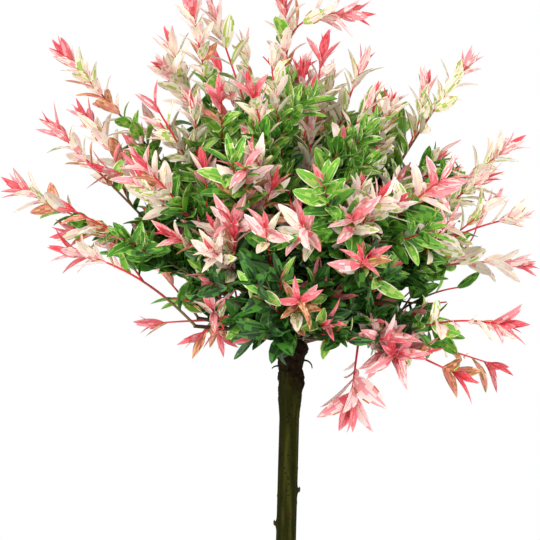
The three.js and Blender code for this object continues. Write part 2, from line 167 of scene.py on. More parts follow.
# %% [markdown]
# ## Helpers that turn a bmesh into a piece
#
# A piece rides on the model's only body, which is called root, and stands for one or more of the
# plain solids. The solids that it stands for aren't shown any more.

# %% Finish a piece
def placed(name, data):
    """A new object, linked to the scene."""
    item = bpy.data.objects.new(name, data)
    bpy.context.scene.collection.objects.link(item)
    return item


def finish_piece(name, mesh, materials, nodes=()):
    """The mesh as an object, with its materials and its place in the model."""
    mesh.name = name
    for material in materials:
        mesh.materials.append(material)
    piece = placed(name, mesh)
    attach(piece, "root")
    if nodes:
        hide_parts(*nodes)
    mesh.calc_loop_triangles()
    print(name, "has", len(mesh.loop_triangles), "triangles")
    return piece


def mesh_from(form, smooth=True):
    """A bmesh as a mesh, with its faces turned outwards."""
    bmesh.ops.recalc_face_normals(form, faces=form.faces)
    for face in form.faces:
        face.smooth = smooth
    mesh = bpy.data.meshes.new("form")
    form.to_mesh(mesh)
    form.free()
    return mesh


def add_part(form, part):
    """Moves everything in one bmesh to another."""
    mesh = bpy.data.meshes.new("part")
    part.to_mesh(mesh)
    part.free()
    form.from_mesh(mesh)
    bpy.data.meshes.remove(mesh)


def on_ring(turn, radius, height):
    """The point at a turn and radius about the upright axis."""
    return math.cos(turn) * radius, math.sin(turn) * radius, height


# %% [markdown]
# ## The pot
#
# A clay pot is thrown on a wheel, so a spun profile is the natural way to make it. The profile runs
# up the outside, over the rim and down the inside. After the spin, the sharp rings get a small
# bevel, because fired clay never has a knife edge. Four drain holes are cut through the foot.

# %% The pot's sizes
POT_HEIGHT = 0.205
POT_FOOT = 0.082
POT_RIM = 0.120
POT_WALL = 0.009
POT_FLOOR = 0.012
RIM_ROUND = 0.004
BAND_STEP = 0.002
BAND_HEIGHT = 0.038
BAND_FOOT = POT_HEIGHT - BAND_HEIGHT
WALL_TOP = POT_RIM - 0.007
# The inside's radius at the floor and at the band, and how much wider it is at the rim
INNER_FOOT = POT_FOOT - POT_WALL + 0.004
INNER_NECK = WALL_TOP - POT_WALL
INNER_FLARE = 0.005
HOLES = 4
HOLE_RADIUS = 0.006
HOLE_REACH = 0.042
SOIL_TOP = 0.183
SOIL_GAP = 0.0006


# %% Spin a profile
def spun(profile, steps):
    """A closed form from (radius, height) pairs that start and end on the axis."""
    form = bmesh.new()
    dots = [form.verts.new((radius, 0, height)) for radius, height in profile]
    lines = [form.edges.new(pair) for pair in zip(dots, dots[1:])]
    bmesh.ops.spin(
        form, geom=dots + lines, axis=(0, 0, 1), cent=(0, 0, 0),
        angle=math.tau, steps=steps, use_merge=True,
    )
    bmesh.ops.remove_doubles(form, verts=form.verts, dist=1e-5)
    return form


def bevel_rings(form, offset, least_angle):
    """Rounds every ring of edges that turns by more than least_angle, in degrees."""
    bmesh.ops.recalc_face_normals(form, faces=form.faces)
    sharp = [
        edge for edge in form.edges
        if len(edge.link_faces) == 2 and edge.calc_face_angle(0) > math.radians(least_angle)
    ]
    bmesh.ops.bevel(
        form, geom=sharp, offset=offset, offset_type="OFFSET", affect="EDGES",
        segments=3, profile=0.5, material=-1,
    )


# %% Model the pot
def pot_form():
    form = spun(
        [
            (0, 0), (POT_FOOT, 0), (WALL_TOP - 0.003, BAND_FOOT),
            (POT_RIM - BAND_STEP, BAND_FOOT + BAND_STEP), (POT_RIM, POT_HEIGHT - RIM_ROUND),
            (POT_RIM - RIM_ROUND, POT_HEIGHT), (INNER_NECK + INNER_FLARE, POT_HEIGHT),
            (INNER_NECK, BAND_FOOT), (INNER_FOOT, POT_FLOOR), (0, POT_FLOOR),
        ],
        96,
    )
    bevel_rings(form, 0.0016, 24)
    return form


def cut(piece, cutter):
    """Cuts one object out of another and keeps the result as the first one's mesh."""
    boolean = piece.modifiers.new("cut", "BOOLEAN")
    boolean.object = cutter
    boolean.operation = "DIFFERENCE"
    boolean.solver = "EXACT"
    graph = bpy.context.evaluated_depsgraph_get()
    result = bpy.data.meshes.new_from_object(piece.evaluated_get(graph))
    piece.modifiers.clear()
    piece.data = result
    bpy.data.objects.remove(cutter)


def drain_holes():
    form = bmesh.new()
    for number in range(HOLES):
        spot = on_ring((number + 0.5) / HOLES * math.tau, HOLE_REACH, 0.005)
        bmesh.ops.create_cone(
            form, cap_ends=True, segments=28, radius1=HOLE_RADIUS, radius2=HOLE_RADIUS,
            depth=0.03, matrix=Matrix.Translation(spot),
        )
    return placed("holes", mesh_from(form))


# %% [markdown]
# ### Clay
#
# Fired clay is matt. Its colour drifts between orange and pink brown, with a pale chalky bloom
# where water has dried out of the wall. A fine bump is squeezed into the faint rings of the wheel.

# %% The clay's finish
def clay_material():
    paint = Paint("clay", linear(181, 106, 74), 0.86, 0.25)
    place = paint.place()
    drift = paint.noise(place, 14, 6)
    body = paint.tones(drift, (0.32, 0.52, 0.72), ((160, 86, 58), (184, 106, 74), (200, 128, 94)))
    bloom = paint.ramp(paint.noise(place, 7, 8, 0.7), (0.56, BLACK), (0.74, grey(0.55)))
    rings = paint.noise(paint.place((0.15, 0.15, 1)), 260, 3)
    return paint.finished(paint.mix(bloom, body, linear(222, 190, 168)), rings, 0.0006, 0.7)


# %% Make the pot
pot = finish_piece("clay_pot", mesh_from(pot_form()), [clay_material()], ["pot"])
cut(pot, drain_holes())
print("the pot's foot is", round(2 * POT_FOOT * 1000), "mm across")

# %% [markdown]
# ## The compost
#
# The compost fills the pot to a finger below the rim. Its body is a spun form whose top is raised
# and lowered by noise. Crumbs and small chips of bark lie on it, as copies of a few rough lumps,
# joined into one mesh each.

# %% Repeatable chance
def chance(a, b=0.0):
    """A repeatable number from 0 to 1 for a pair of counters."""
    wave = math.sin(a * 127.1 + b * 311.7 + 74.7) * 43758.5453
    return wave - math.floor(wave)


# %% Model the compost's body
WAVES = 7
BUMPS = ((0.0011, 90, 3), (0.0007, 420, 9), (0.0005, 1100, 17))


def waves(x, y, scale, seed):
    """Smooth noise from a few crossing waves, from about -1 to 1. x and y are arrays."""
    total = np.zeros_like(x)
    for number in range(WAVES):
        turn = chance(seed, number) * math.tau
        pitch = scale * (0.6 + 0.9 * chance(seed + 1, number))
        phase = chance(seed + 2, number) * math.tau
        total += np.sin((x * math.cos(turn) + y * math.sin(turn)) * pitch + phase)
    return total / math.sqrt(WAVES)


def compost_form():
    """The compost fills the inside of the pot, a hair clear of its wall."""
    foot, neck, floor = INNER_FOOT - SOIL_GAP, INNER_NECK - SOIL_GAP, POT_FLOOR + SOIL_GAP / 2
    edge = neck + INNER_FLARE / BAND_HEIGHT * (SOIL_TOP - BAND_FOOT)
    top = [(edge * share, SOIL_TOP) for share in np.linspace(1, 0, 46)]
    form = spun([(0, floor), (foot, floor), (neck, BAND_FOOT), *top], 120)
    dots = [dot for dot in form.verts if dot.co.z > SOIL_TOP - 1e-4]
    places = np.array([dot.co for dot in dots])
    lift = sum(depth * waves(places[:, 0], places[:, 1], *pitch) for depth, *pitch in BUMPS)
    for dot, rise in zip(dots, lift):
        dot.co.z += float(rise) - 0.0006
    return form


# %% Crumbs and bark chips
def lump(seed, stretch):
    """A rough little lump of about 1 unit across."""
    form = bmesh.new()
    bmesh.ops.create_icosphere(form, subdivisions=1, radius=0.5)
    for number, dot in enumerate(form.verts):
        dot.co *= 0.7 + 0.6 * chance(seed, number)
        dot.co.x *= stretch
    return form


def scattered(name, count, seed, sizes, stretch, flatness, material):
    """Many copies of nine rough lumps, laid on the compost and joined."""
    form = bmesh.new()
    for number in range(count):
        turn = chance(seed, number) * math.tau
        reach = 0.020 + 0.083 * math.sqrt(chance(seed + 1, number))
        size = sizes[0] + (sizes[1] - sizes[0]) * chance(seed + 2, number) ** 2
        spin = Matrix.Rotation(chance(seed + 3, number) * math.tau, 4, "Z")
        tip = Matrix.Rotation((chance(seed + 4, number) - 0.5) * 0.7, 4, "X")
        shape = Matrix.Diagonal((size, size, size * flatness, 1))
        spot = on_ring(turn, reach, SOIL_TOP + size * 0.12 * flatness)
        grain = lump(seed + number % 9, stretch)
        grain.transform(Matrix.Translation(spot) @ spin @ tip @ shape)
        add_part(form, grain)
    finish_piece(name, mesh_from(form, smooth=False), [material])


# %% Make the compost
compost = mottled("compost", ((30, 21, 16), (56, 42, 33), (92, 72, 54)), 340, 0.95, 0.2, 0.0016)
finish_piece("compost", mesh_from(compost_form()), [compost], ["soil"])
scattered("compost_crumbs", 620, 31, (0.0018, 0.0058), 1.0, 0.75, compost)
bark = mottled("chip_bark", ((60, 38, 25), (98, 64, 42), (140, 100, 68)), 160, 0.85, 0.3, 0.0005)
scattered("bark_chips", 120, 57, (0.0035, 0.0095), 1.9, 0.35, bark)

# %% [markdown]
# ## The crown's plan
#
# The plain solids place seventeen boughs and seventeen masses of foliage round the top of the stem:
# three rings and one on top. Each mass keeps to its own cone. The same rule is written again here,
# with the same numbers, so that the fine shoots grow exactly where the plain ones do.

# %% Named sizes of the crown
STEM_HEIGHT = 0.600
STEM_LEAN = 0.016
KNUCKLE = 0.018
HEART = Vector((STEM_LEAN, 0, SOIL_TOP + STEM_HEIGHT))
UP = Vector((0, 0, 1))
# Angles are in degrees. Some of a ring's shoots are short inner ones.
Ring = namedtuple("Ring", "name first rise half_turn half_rise shoots inner sides")
RINGS = (
    Ring("low", 30, 12, 20, 11, 6, 2, "back_right back back_left front_left front front_right"),
    Ring("middle", 0, 36, 24, 11, 6, 2, "right back_right back_left left front_left front_right"),
    Ring("high", 0, 60, 38, 10, 6, 1, "right back left front"),
    Ring("top", 0, 90, 180, 13, 8, 1, "middle"),
)
Place = namedtuple("Place", "name ring turn rise axis number")
CROWN_TILT = 4
BOUGH_START = KNUCKLE - 0.005
BOUGH_END = 0.060
BOUGH_LIFT = 0.14
STEM_OF_MASS = 0.064
FIRST_SHOOT, LAST_SHOOT = 0.10, 0.97
# How far the crown reaches from its heart at some rises, on its right and on its left
RIGHT_REACH = (
    (-45, 0.110), (-15, 0.200), (2, 0.250), (17, 0.285), (40, 0.315), (58, 0.360), (90, 0.385),
)
LEFT_REACH = (
    (-45, 0.090), (0, 0.125), (7, 0.175), (22, 0.280), (42, 0.370), (60, 0.385), (90, 0.385),
)
OUTER_REACH = (0.74, 1.0)
INNER_REACH = (0.42, 0.60)
SPACE_MARGIN = 0.0005
# A shoot arches more on the right, and not at all where it hangs. One at the lower left is lifted.
RIGHT_ARCH = 0.26
HANGS_BELOW = -0.2
ARCHES_ABOVE = 0.25
LIFTED_ARCH = 0.2
BEND_AT = 0.45
MOST_BARE = 0.7
SHOWS_AT = 0.75
GOLDEN_ANGLE = math.pi * (3 - math.sqrt(5))

# %% The long shoots and the gaps between them
# The usual view's place. What follows is measured as it is seen from there, in millimetres
# across and up from the crown's heart.
EYE = Vector((-0.007, -2.796, 1.010))

# The long shoots that stand out of the outline: across, up, and degrees off the view's plane
LEADERS = (
    (241, -30, 28), (206, -46, -26), (258, 14, -34), (125, -30, -38), (62, -92, -48),
    (272, 83, 6), (268, 140, -14), (230, 190, -8), (252, 223, 9), (172, 212, 16),
    (202, 317, 5), (114, 278, -24), (85, 328, 20), (38, 344, -12), (12, 318, -60), (-92, 382, -8),
    (-172, 20, -28), (-122, -4, 30), (-262, 103, 12), (-318, 179, -4), (-276, 251, 8),
    (-238, 264, -18), (-263, 333, 3), (-166, 289, 22), (-139, 346, -10), (-116, 399, 12),
    (-56, 344, -30), (-8, 401, 0),
)

# Gaps between the shoots, as ellipses: across, up, half of the width and of the height
SKY = (
    (-206, 157, 38, 15), (-199, 57, 58, 14), (-155, 64, 40, 15), (-176, 49, 20, 13),
    (-118, 25, 32, 14), (-32, 316, 10, 14), (24, -22, 10, 24), (74, -16, 9, 15),
    (108, -34, 13, 14), (154, -32, 21, 14), (186, 57, 30, 12), (226, 43, 38, 11),
    (190, 36, 24, 11), (124, 57, 15, 9), (236, 112, 24, 9), (173, 234, 15, 17), (70, 274, 12, 13),
)

# Narrower gaps that only keep leaves and side twigs away
SLITS = (
    (-199, 78, 42, 10), (-205, 144, 35, 9), (-207, 212, 13, 11), (-146, 256, 8, 12),
    (-73, 322, 8, 14), (-40, 316, 9, 13), (-31, -8, 12, 8), (26, 2, 12, 9), (140, 216, 13, 16),
    (168, 252, 12, 10), (208, 130, 30, 10), (195, 82, 13, 9), (164, -35, 8, 24), (208, 1, 13, 9),
    (135, 47, 6, 13), (155, 13, 10, 6), (-58, 55, 15, 6), (-84, 51, 7, 6), (-38, 32, 11, 5),
    (-136, 212, 10, 10), (-68, 271, 6, 11), (-121, 251, 8, 9), (-223, 185, 11, 7),
    (15, 352, 9, 13), (-160, 290, 8, 12), (62, -14, 12, 11), (218, -18, 18, 8), (190, -6, 12, 8),
)

# %% Fine shoots, blooms and the front's colours
# Fine shoots that fill the outline between the long ones, given as the long ones are
WISPS = (
    (84, 378, 4), (-147, 320, 6), (-262, 128, -4), (177, 225, 6), (238, 168, -5), (224, 146, 5),
    (155, 300, 4), (13, 322, 20), (-40, 340, 5), (-84, 5, -60), (86, -24, -50), (122, -22, -45),
)

# The blooms that face the viewer: across, up, metres behind the heart, and the flush
BLOOMS = (
    (12, 130, -0.205, "star"), (68, 137, -0.200, "star"), (-28, 127, -0.205, "star"),
    (-51, 192, -0.190, "star"), (78, 92, -0.200, "rust"),
)

# Places in the crown's front, as ellipses, and the flushes of the twigs that end there
FRONT_PLACES = (
    ((9, 48, 9, 8), "rust"), ((98, -6, 34, 28), "star"), ((62, -92, 20, 20), "star"),
    ((-98, 148, 58, 52), "plume pink plume star cream"), ((35, 174, 14, 14), "green"),
    ((-150, 85, 60, 36), "green"), ((105, 60, 40, 40), "green"), ((-30, 15, 50, 32), "green"),
    ((-140, 8, 70, 36), "rust"), ((225, -30, 50, 40), "rust rust pink"), ((7, 95, 30, 22), "green"),
    ((-15, 165, 62, 44), "plume rust green cream green"), ((20, 70, 75, 40), "green"),
)


# %% The crown's directions and outline
def smooth(value, low, high):
    """Rises softly from 0 at low to 1 at high."""
    share = np.clip((value - low) / (high - low), 0, 1)
    return share * share * (3 - 2 * share)


def heading(turn, rise):
    return Vector(on_ring(turn, math.cos(rise), math.sin(rise)))


def rightward(turn):
    """1 towards the right and 0 towards the left."""
    return 0.5 + 0.5 * math.cos(turn)


def outline(turn, rise):
    """How far the crown reaches from the heart in a direction."""
    right, left = (
        np.interp(math.degrees(rise), *zip(*reach)) for reach in (RIGHT_REACH, LEFT_REACH)
    )
    return float(left + (right - left) * rightward(turn))


def is_seen_in(point, spots=SKY):
    """True where a point is seen in one of the ellipses, from the usual view's place."""
    seen = (EYE.lerp(point, EYE.y / (EYE.y - point.y)) - HEART) * 1000
    return any(
        math.hypot((seen.x - across) / half_width, (seen.z - up) / half_height) < 1
        for across, up, half_width, half_height in spots
    )


def crown_places():
    found = []
    for ring in RINGS:
        sides = ring.sides.split()
        for i, side in enumerate(sides):
            turn = math.radians(ring.first) + i / len(sides) * math.tau
            level = math.cos(math.radians(ring.rise))
            rise = math.radians(ring.rise - CROWN_TILT * math.cos(turn) * level * level)
            name = f"{ring.name}_{side}"
            found.append(Place(name, ring, turn, rise, heading(turn, rise), len(found)))
    return found


places = crown_places()
print(len(places), "masses, heart at", tuple(round(v, 3) for v in HEART))


def is_inside(point, place):
    """True where a point lies in a place's own cone, clear of its neighbours' cones."""
    arm = point - HEART
    return all(
        other is place or arm.dot((place.axis - other.axis).normalized()) > SPACE_MARGIN
        for other in places
    )


# %% [markdown]
# ## Curves
#
# Boughs and shoots are quadratic curves: a start, an end and one point between that pulls the curve
# towards it. A small class keeps evenly spaced points of a curve, so a leaf can ask for the place
# and the direction at any distance from either end.

# %% A curve with even steps
class Path:
    """Evenly spaced points on a quadratic curve, read by distance along it."""

    def __init__(self, start, bend, end, steps=24):
        t = np.linspace(0, 1, 65)[:, None]
        a, b, c = (np.array(point) for point in (start, bend, end))
        fine = (1 - t) ** 2 * a + 2 * t * (1 - t) * b + t * t * c
        run = np.concatenate([[0], np.cumsum(np.linalg.norm(np.diff(fine, axis=0), axis=1))])
        self.length = float(run[-1])
        self.marks = np.linspace(0, self.length, steps + 1)
        self.points = np.stack([np.interp(self.marks, run, fine[:, k]) for k in range(3)], axis=1)

    def at(self, distance):
        spot = [np.interp(distance, self.marks, self.points[:, k]) for k in range(3)]
        return Vector(spot)

    def heading(self, distance):
        near = min(max(distance, 0.002), self.length - 0.002)
        return (self.at(near + 0.002) - self.at(near - 0.002)).normalized()


# %% The boughs, the masses' stems and the shoots
def bough_path(place):
    lift = (place.axis + UP * BOUGH_LIFT).normalized()
    return (
        HEART + place.axis * BOUGH_START,
        HEART + lift * (BOUGH_END * 0.55),
        HEART + place.axis * BOUGH_END,
    )


def mass_stem(place):
    """The first and last point of the stem that carries a bough on into its mass."""
    _, bend, tip = bough_path(place)
    return tip, tip + (tip - bend).normalized() * STEM_OF_MASS


def seen_at(across, up, depth):
    """The place that is seen at across and up, depth metres behind the heart."""
    return EYE.lerp(HEART + Vector((across, 0, up)) * 0.001, 1 - depth / EYE.y)


def aimed(across, up, off):
    """The place that is seen at across and up, turned off the view's plane."""
    return seen_at(across, up, across * math.tan(math.radians(off)) * 0.001)


def shoot_aims(place):
    """The tips that a mass's shoots reach for, nearest first, and whether each is a leader's."""
    ring, number = place.ring, place.number
    aims = [(tip, True) for tip in (aimed(*leader) for leader in LEADERS) if is_inside(tip, place)]
    outer = ring.shoots - ring.inner
    for k in range(len(aims), ring.shoots):
        spin = k * GOLDEN_ANGLE + number * 1.9
        aside = math.sqrt(((k % outer) + 0.6) / outer)
        tilt = math.radians(ring.half_rise) * aside
        swing = math.radians(ring.half_turn) * aside * math.cos(spin) / math.cos(place.rise * 0.6)
        if ring.name == "top":
            turn, rise = spin, place.rise - tilt
        else:
            turn, rise = place.turn + swing, place.rise + tilt * math.sin(spin)
        least, most = INNER_REACH if k >= outer else OUTER_REACH
        share = least + (most - least) * chance(number, k)
        tip = HEART + heading(turn, rise) * outline(turn, rise) * share
        if not is_seen_in(tip) and not is_seen_in(HEART.lerp(tip, SHOWS_AT)):
            aims.append((tip, False))
    return sorted(aims, key=lambda aim: (aim[0] - HEART).length)


def shoot_path(place, tip, share):
    """A shoot from the mass's stem towards its tip, which it stops short of."""
    foot, top = mass_stem(place)
    start = foot.lerp(top, FIRST_SHOOT + (LAST_SHOOT - FIRST_SHOOT) * share)
    span = (tip - start).length
    way = (tip - HEART).normalized()
    arch = RIGHT_ARCH * (0.5 + 0.5 * way.x)
    arch *= float(smooth(way.z, HANGS_BELOW, ARCHES_ABOVE)) * math.cos(place.rise)
    if place.name == "low_front_left" and way.z > 0.3:
        arch += LIFTED_ARCH
    bend = start.lerp(tip, BEND_AT) + UP * (span * arch)
    share = 1 - min(TIP_BARE / span, MOST_BARE)
    near, far = start.lerp(bend, share), bend.lerp(tip, share)
    return Path(start, near, near.lerp(far, share))


# %% [markdown]
# ## Growing the shoots
#
# Every plain shoot is grown again with side twigs on it. A side twig leaves at an angle, is shorter
# than the shoot it stands on and never reaches past the crown's outline. Short spurs on the inner
# stems fill the heart of the crown. A few fine shoots stand between the long ones, and five more
# end in blooms that face the viewer.
#
# A twig also has a flush, the colours of its newest leaves. Which one depends on where the twig
# ends: the crown is pinkest on its left, creamy on its upper right and green underneath. A list of
# places in its front says what grows there. A word that is named twice is twice as likely.

# %% Side twigs within the crown's reach
TIP_BARE = 0.027
SIDE_REACH = 0.82
SHORTEST = 0.035
MOST_PULLED = math.radians(55)
ALL_GAPS = SKY + SLITS


def kept_in_reach(start, tip):
    """tip pulled back inside the crown's outline, or None where it hangs too low or in a gap."""
    arm = tip - HEART
    turn = math.atan2(arm.y, arm.x)
    rise = math.asin(max(-1, min(1, arm.z / arm.length)))
    # The crown's underside is flat, and a little lower on the right
    lowest = math.radians(-1 - 13 * rightward(turn))
    if rise < lowest or is_seen_in(tip, ALL_GAPS) or is_seen_in(start.lerp(tip, 0.6)):
        return None
    most = outline(turn, rise) * SIDE_REACH - TIP_BARE
    if arm.length <= most:
        return tip
    pulled = HEART + arm * (most / arm.length)
    if (pulled - start).length < SHORTEST or (pulled - start).angle(tip - start) > MOST_PULLED:
        return None
    return None if is_seen_in(pulled, ALL_GAPS) else pulled


def side_frame(way):
    """Two directions square to way."""
    across = way.cross(UP if abs(way.z) < 0.9 else Vector((1, 0, 0))).normalized()
    return across, way.cross(across)


def side_path(path, share, degrees, roll, length):
    """A twig that leaves a path at an angle and bends a little towards the light, or None."""
    start, way = path.at(path.length * share), path.heading(path.length * share)
    across, over = side_frame(way)
    spread = math.radians(degrees)
    aside = across * math.cos(roll) + over * math.sin(roll)
    out = way * math.cos(spread) + aside * math.sin(spread)
    tip = kept_in_reach(start, start + (out * 0.8 + way * 0.25 + UP * 0.08).normalized() * length)
    return tip and Path(start, start + out * (tip - start).length * 0.5, tip, steps=12)


# %% The flush that a twig ends in
LEFT = "plume plume plume pink pink cream green"
MIDDLE = "pink plume plume cream cream green"
RIGHT = "pink cream cream cream green green green"
INNER = "pink pink cream green green green green green"
SHADED = "green green green green green green green green green pink"
LOW_SIDES = "rust rust cream green"
TOP = "plume pink cream cream cream"
TOP_LEADER = "plume plume cream"
UPPER_RIGHT = "cream cream cream plume"
FRONT_DEPTH = 0.05
LEADER_DEPTH = 0.2


def front_flushes(tip, deepest=FRONT_DEPTH):
    """The flushes of the first listed place that a tip is seen in, or None."""
    found = [flushes for place, flushes in FRONT_PLACES if is_seen_in(tip, [place])]
    return found[0] if found and tip.y < deepest else None


def flushes_for(tip, ring, is_leader):
    """The flushes that a twig may end in. The crown is pinkest on its left, green below."""
    arm = tip - HEART
    way = arm.normalized()
    listed = front_flushes(tip, LEADER_DEPTH if is_leader else FRONT_DEPTH)
    if listed:
        return listed
    if is_leader:
        right = way.x > 0.25 and way.z > 0.35
        return UPPER_RIGHT if right else TOP_LEADER if way.z > 0.9 else "plume"
    if way.y < 0.4 and (ring == "low" or way.z < 0.52):
        return SHADED if abs(way.x) < 0.75 else LOW_SIDES
    if arm.length < (0.30 if way.z > 0.75 and way.x > -0.3 else 0.19):
        return INNER
    if way.z > 0.8:
        return TOP
    return LEFT if way.x < -0.15 else RIGHT if way.x > 0.3 else MIDDLE


def dealt(words, draw):
    """One of some words, for a draw from 0 to 1. A repeated word is likelier."""
    choice = words.split()
    return choice[int(draw * len(choice))]


# %% What a new twig is like
STURDY, FINE = (0.0016, 0.0009), (0.0013, 0.0008)
# The radii at foot and tip, the size of the leaves and how far back the new colours reach
KINDS_OF_TWIG = {
    "stem": ((0.0031, 0.0022), 1, 0.55), "leader": (STURDY, 1, 1.05), "shoot": (STURDY, 0.98, 0.8),
    "side": (FINE, 0.92, 0.55), "spur": (FINE, 0.86, 0.55), "wisp": (FINE, 0.98, 0.9),
    "bloom": (FINE, 0.96, 0.75),
}
OPENNESS = {"low": 0.25, "middle": -0.1, "high": -0.4, "top": -0.4}
# The long shoots that hang carry large, broad leaves
HANGING_OPENNESS, HANGING_SIZE, HANGING_BREADTH = 0.55, 1.22, 1.35
STAR_SIZE, STAR_OPENNESS = 1.04, 0.8
RUST_REACH, SHADED_SIZE = 1.2, 0.88
Twig = namedtuple("Twig", "path kind radii seed flush reach open size broad")


def new_twig(path, kind, seed, ring, flushes="green"):
    """A twig with the flush it ends in, how far its colours reach back and how open it is."""
    way = (path.at(path.length) - HEART).normalized()
    hangs = kind == "leader" and way.z < 0
    radii, size, reach = KINDS_OF_TWIG[kind]
    openness = chance(seed, 81) * 1.1 + OPENNESS[ring]
    if kind in ("leader", "wisp"):
        openness = HANGING_OPENNESS if hangs else openness * 0.4
    flush = dealt(flushes, chance(seed, 83))
    if openness > 0.6 and flush in ("pink", "plume"):
        flush = "star"
    if flush == "star" and not hangs:
        openness = max(openness, STAR_OPENNESS)
    reach += 0.45 * chance(seed, 71)
    if way.x < -0.6:
        reach *= 1.15 if way.z > 0.55 else 0.8
    elif way.z > (0.4 if way.x > 0.3 else 0.8) or (way.x > 0.6 and way.z < 0.15):
        reach *= 1.25
    if hangs:
        size = HANGING_SIZE
    elif flush == "star" and kind != "bloom":
        size = STAR_SIZE
    if flush == "rust":
        reach *= RUST_REACH
    if flush == "rust" or flushes == SHADED:
        size *= SHADED_SIZE
    openness, broad = min(max(openness, 0), 1), HANGING_BREADTH if hangs else 1
    return Twig(path, kind, radii, seed, flush, reach, openness, size, broad)


# %% Side twigs and spurs
SPURS = 5
SPUR_SEEDS, WISP_SEEDS = 500, 900


def side_twigs(path, seed, ring):
    """Two or three side twigs along a shoot."""
    found = []
    count = 2 + round(1.4 * chance(seed, 5))
    for j in range(count):
        share = 0.12 + 0.56 * (j + chance(seed, j + 20)) / count
        degrees = 32 + 22 * chance(seed, j + 30)
        length = max(path.length * (0.30 + 0.24 * chance(seed, j + 40)), 0.05)
        twig = side_path(path, share, degrees, j * GOLDEN_ANGLE + seed, length)
        if twig:
            flushes = flushes_for(twig.at(twig.length), ring, False)
            found.append(new_twig(twig, "side", seed * 7 + j, ring, flushes))
    return found


def spurs(stem, number, ring):
    """The short twigs on a mass's stem."""
    found = []
    for j in range(SPURS):
        seed = number * 13 + j + SPUR_SEEDS
        degrees, length = 38 + 30 * chance(seed, 1), 0.045 + 0.045 * chance(seed, 2)
        twig = side_path(stem, 0.05 + 0.18 * j, degrees, j * GOLDEN_ANGLE + seed, length)
        if twig:
            flushes = front_flushes(twig.at(twig.length)) or SHADED
            found.append(new_twig(twig, "spur", seed, ring, flushes))
    return found


# %% Fine shoots and blooms
WISP_FEET = (0.3, 0.45, 0.6, 0.75)
WISP_SPAN = (0.045, 0.120)
BEHIND = Vector((0, 1, -0.3))


def best_foot(tip, limbs):
    """The foot and heading that point to tip best, out of those near enough."""
    choices = []
    for limb in limbs:
        for share in WISP_FEET:
            foot, way = limb.at(limb.length * share), limb.heading(limb.length * share)
            if WISP_SPAN[0] < (tip - foot).length < WISP_SPAN[1]:
                choices.append(((tip - foot).angle(way), foot, way))
    return min(choices, key=lambda choice: choice[0])[1:]


def fine_shoots(limbs):
    """A shoot to each place in WISPS and BLOOMS. A bloom's comes from behind."""
    found = []
    aims = [(aimed(*aim), None) for aim in WISPS]
    aims += [(seen_at(*place), flush) for *place, flush in BLOOMS]
    for number, (tip, flush) in enumerate(aims):
        foot, way = best_foot(tip, limbs)
        span = (tip - foot).length
        if flush:
            kind, bend = "bloom", tip + BEHIND * (span * 0.5)
        else:
            kind, bend, flush = "wisp", foot + way * (span * 0.5), flushes_for(tip, "middle", True)
            tip = tip.lerp(foot, TIP_BARE / span)
        path = Path(foot, bend, tip, steps=12)
        found.append(new_twig(path, kind, WISP_SEEDS + number, "middle", flush))
    print(len(found), "fine shoots")
    return found


# %% Grow every twig
def grow():
    found = []
    for place in places:
        number, ring = place.number, place.ring.name
        foot, top = mass_stem(place)
        stem = Path(foot, foot.lerp(top, 0.5), top, steps=8)
        found.append(new_twig(stem, "stem", number, ring))
        aims = shoot_aims(place)
        for k, (tip, is_leader) in enumerate(aims):
            seed = number * 11 + k
            path = shoot_path(place, tip, (k + 1) / len(aims))
            kind = "leader" if is_leader else "shoot"
            found.append(new_twig(path, kind, seed, ring, flushes_for(tip, ring, is_leader)))
            found += side_twigs(path, seed, ring)
        found += spurs(stem, number, ring)
    return found + fine_shoots([twig.path for twig in found if twig.kind in ("leader", "shoot")])


twigs = grow()
print(len(twigs), "twigs,", round(sum(twig.path.length for twig in twigs), 1), "m in all")

# %% [markdown]
# ## Tubes from arrays
#
# Hundreds of thin tubes are best made as one mesh. numpy works out all the rings of a tube at once:
# at each point of the path two directions square to it carry a small circle.

# %% Join many tubes
def grid_quads(rows, columns, closed=False):
    """The corner numbers of a grid's quads. A closed grid's last column joins the first."""
    first = np.arange(rows - 1)[:, None] * columns
    side = np.arange(columns if closed else columns - 1)
    after = (side + 1) % columns
    corners = (first + side, first + after, first + columns + after, first + columns + side)
    return np.stack(corners, -1).reshape(-1, 4)


def tube_corners(points, radii, sides):
    """The corner places of one tapered tube."""
    ways = np.gradient(points, axis=0)
    ways /= np.linalg.norm(ways, axis=1, keepdims=True)
    fixed = np.eye(3)[np.argmin(np.abs(ways.mean(axis=0)))]
    across = np.cross(ways, fixed)
    across /= np.linalg.norm(across, axis=1, keepdims=True)
    over = np.cross(ways, across)
    turn = (np.arange(sides) / sides * math.tau)[None, :, None]
    circle = np.cos(turn) * across[:, None] + np.sin(turn) * over[:, None]
    return (points[:, None] + circle * np.asarray(radii)[:, None, None]).reshape(-1, 3)


def mesh_of_quads(corners, quads, slots):
    """A mesh from arrays of corners and quads, with a material slot for each quad."""
    mesh = bpy.data.meshes.new("joined")
    mesh.vertices.add(len(corners))
    mesh.vertices.foreach_set("co", corners.astype(np.float32).ravel())
    mesh.loops.add(quads.size)
    mesh.loops.foreach_set("vertex_index", quads.astype(np.int32).ravel())
    mesh.polygons.add(len(quads))
    mesh.polygons.foreach_set("loop_start", np.arange(0, quads.size, 4, dtype=np.int32))
    mesh.polygons.foreach_set("material_index", slots.astype(np.int32))
    mesh.polygons.foreach_set("use_smooth", np.ones(len(quads), dtype=bool))
    mesh.update(calc_edges=True)
    mesh.validate()
    return mesh


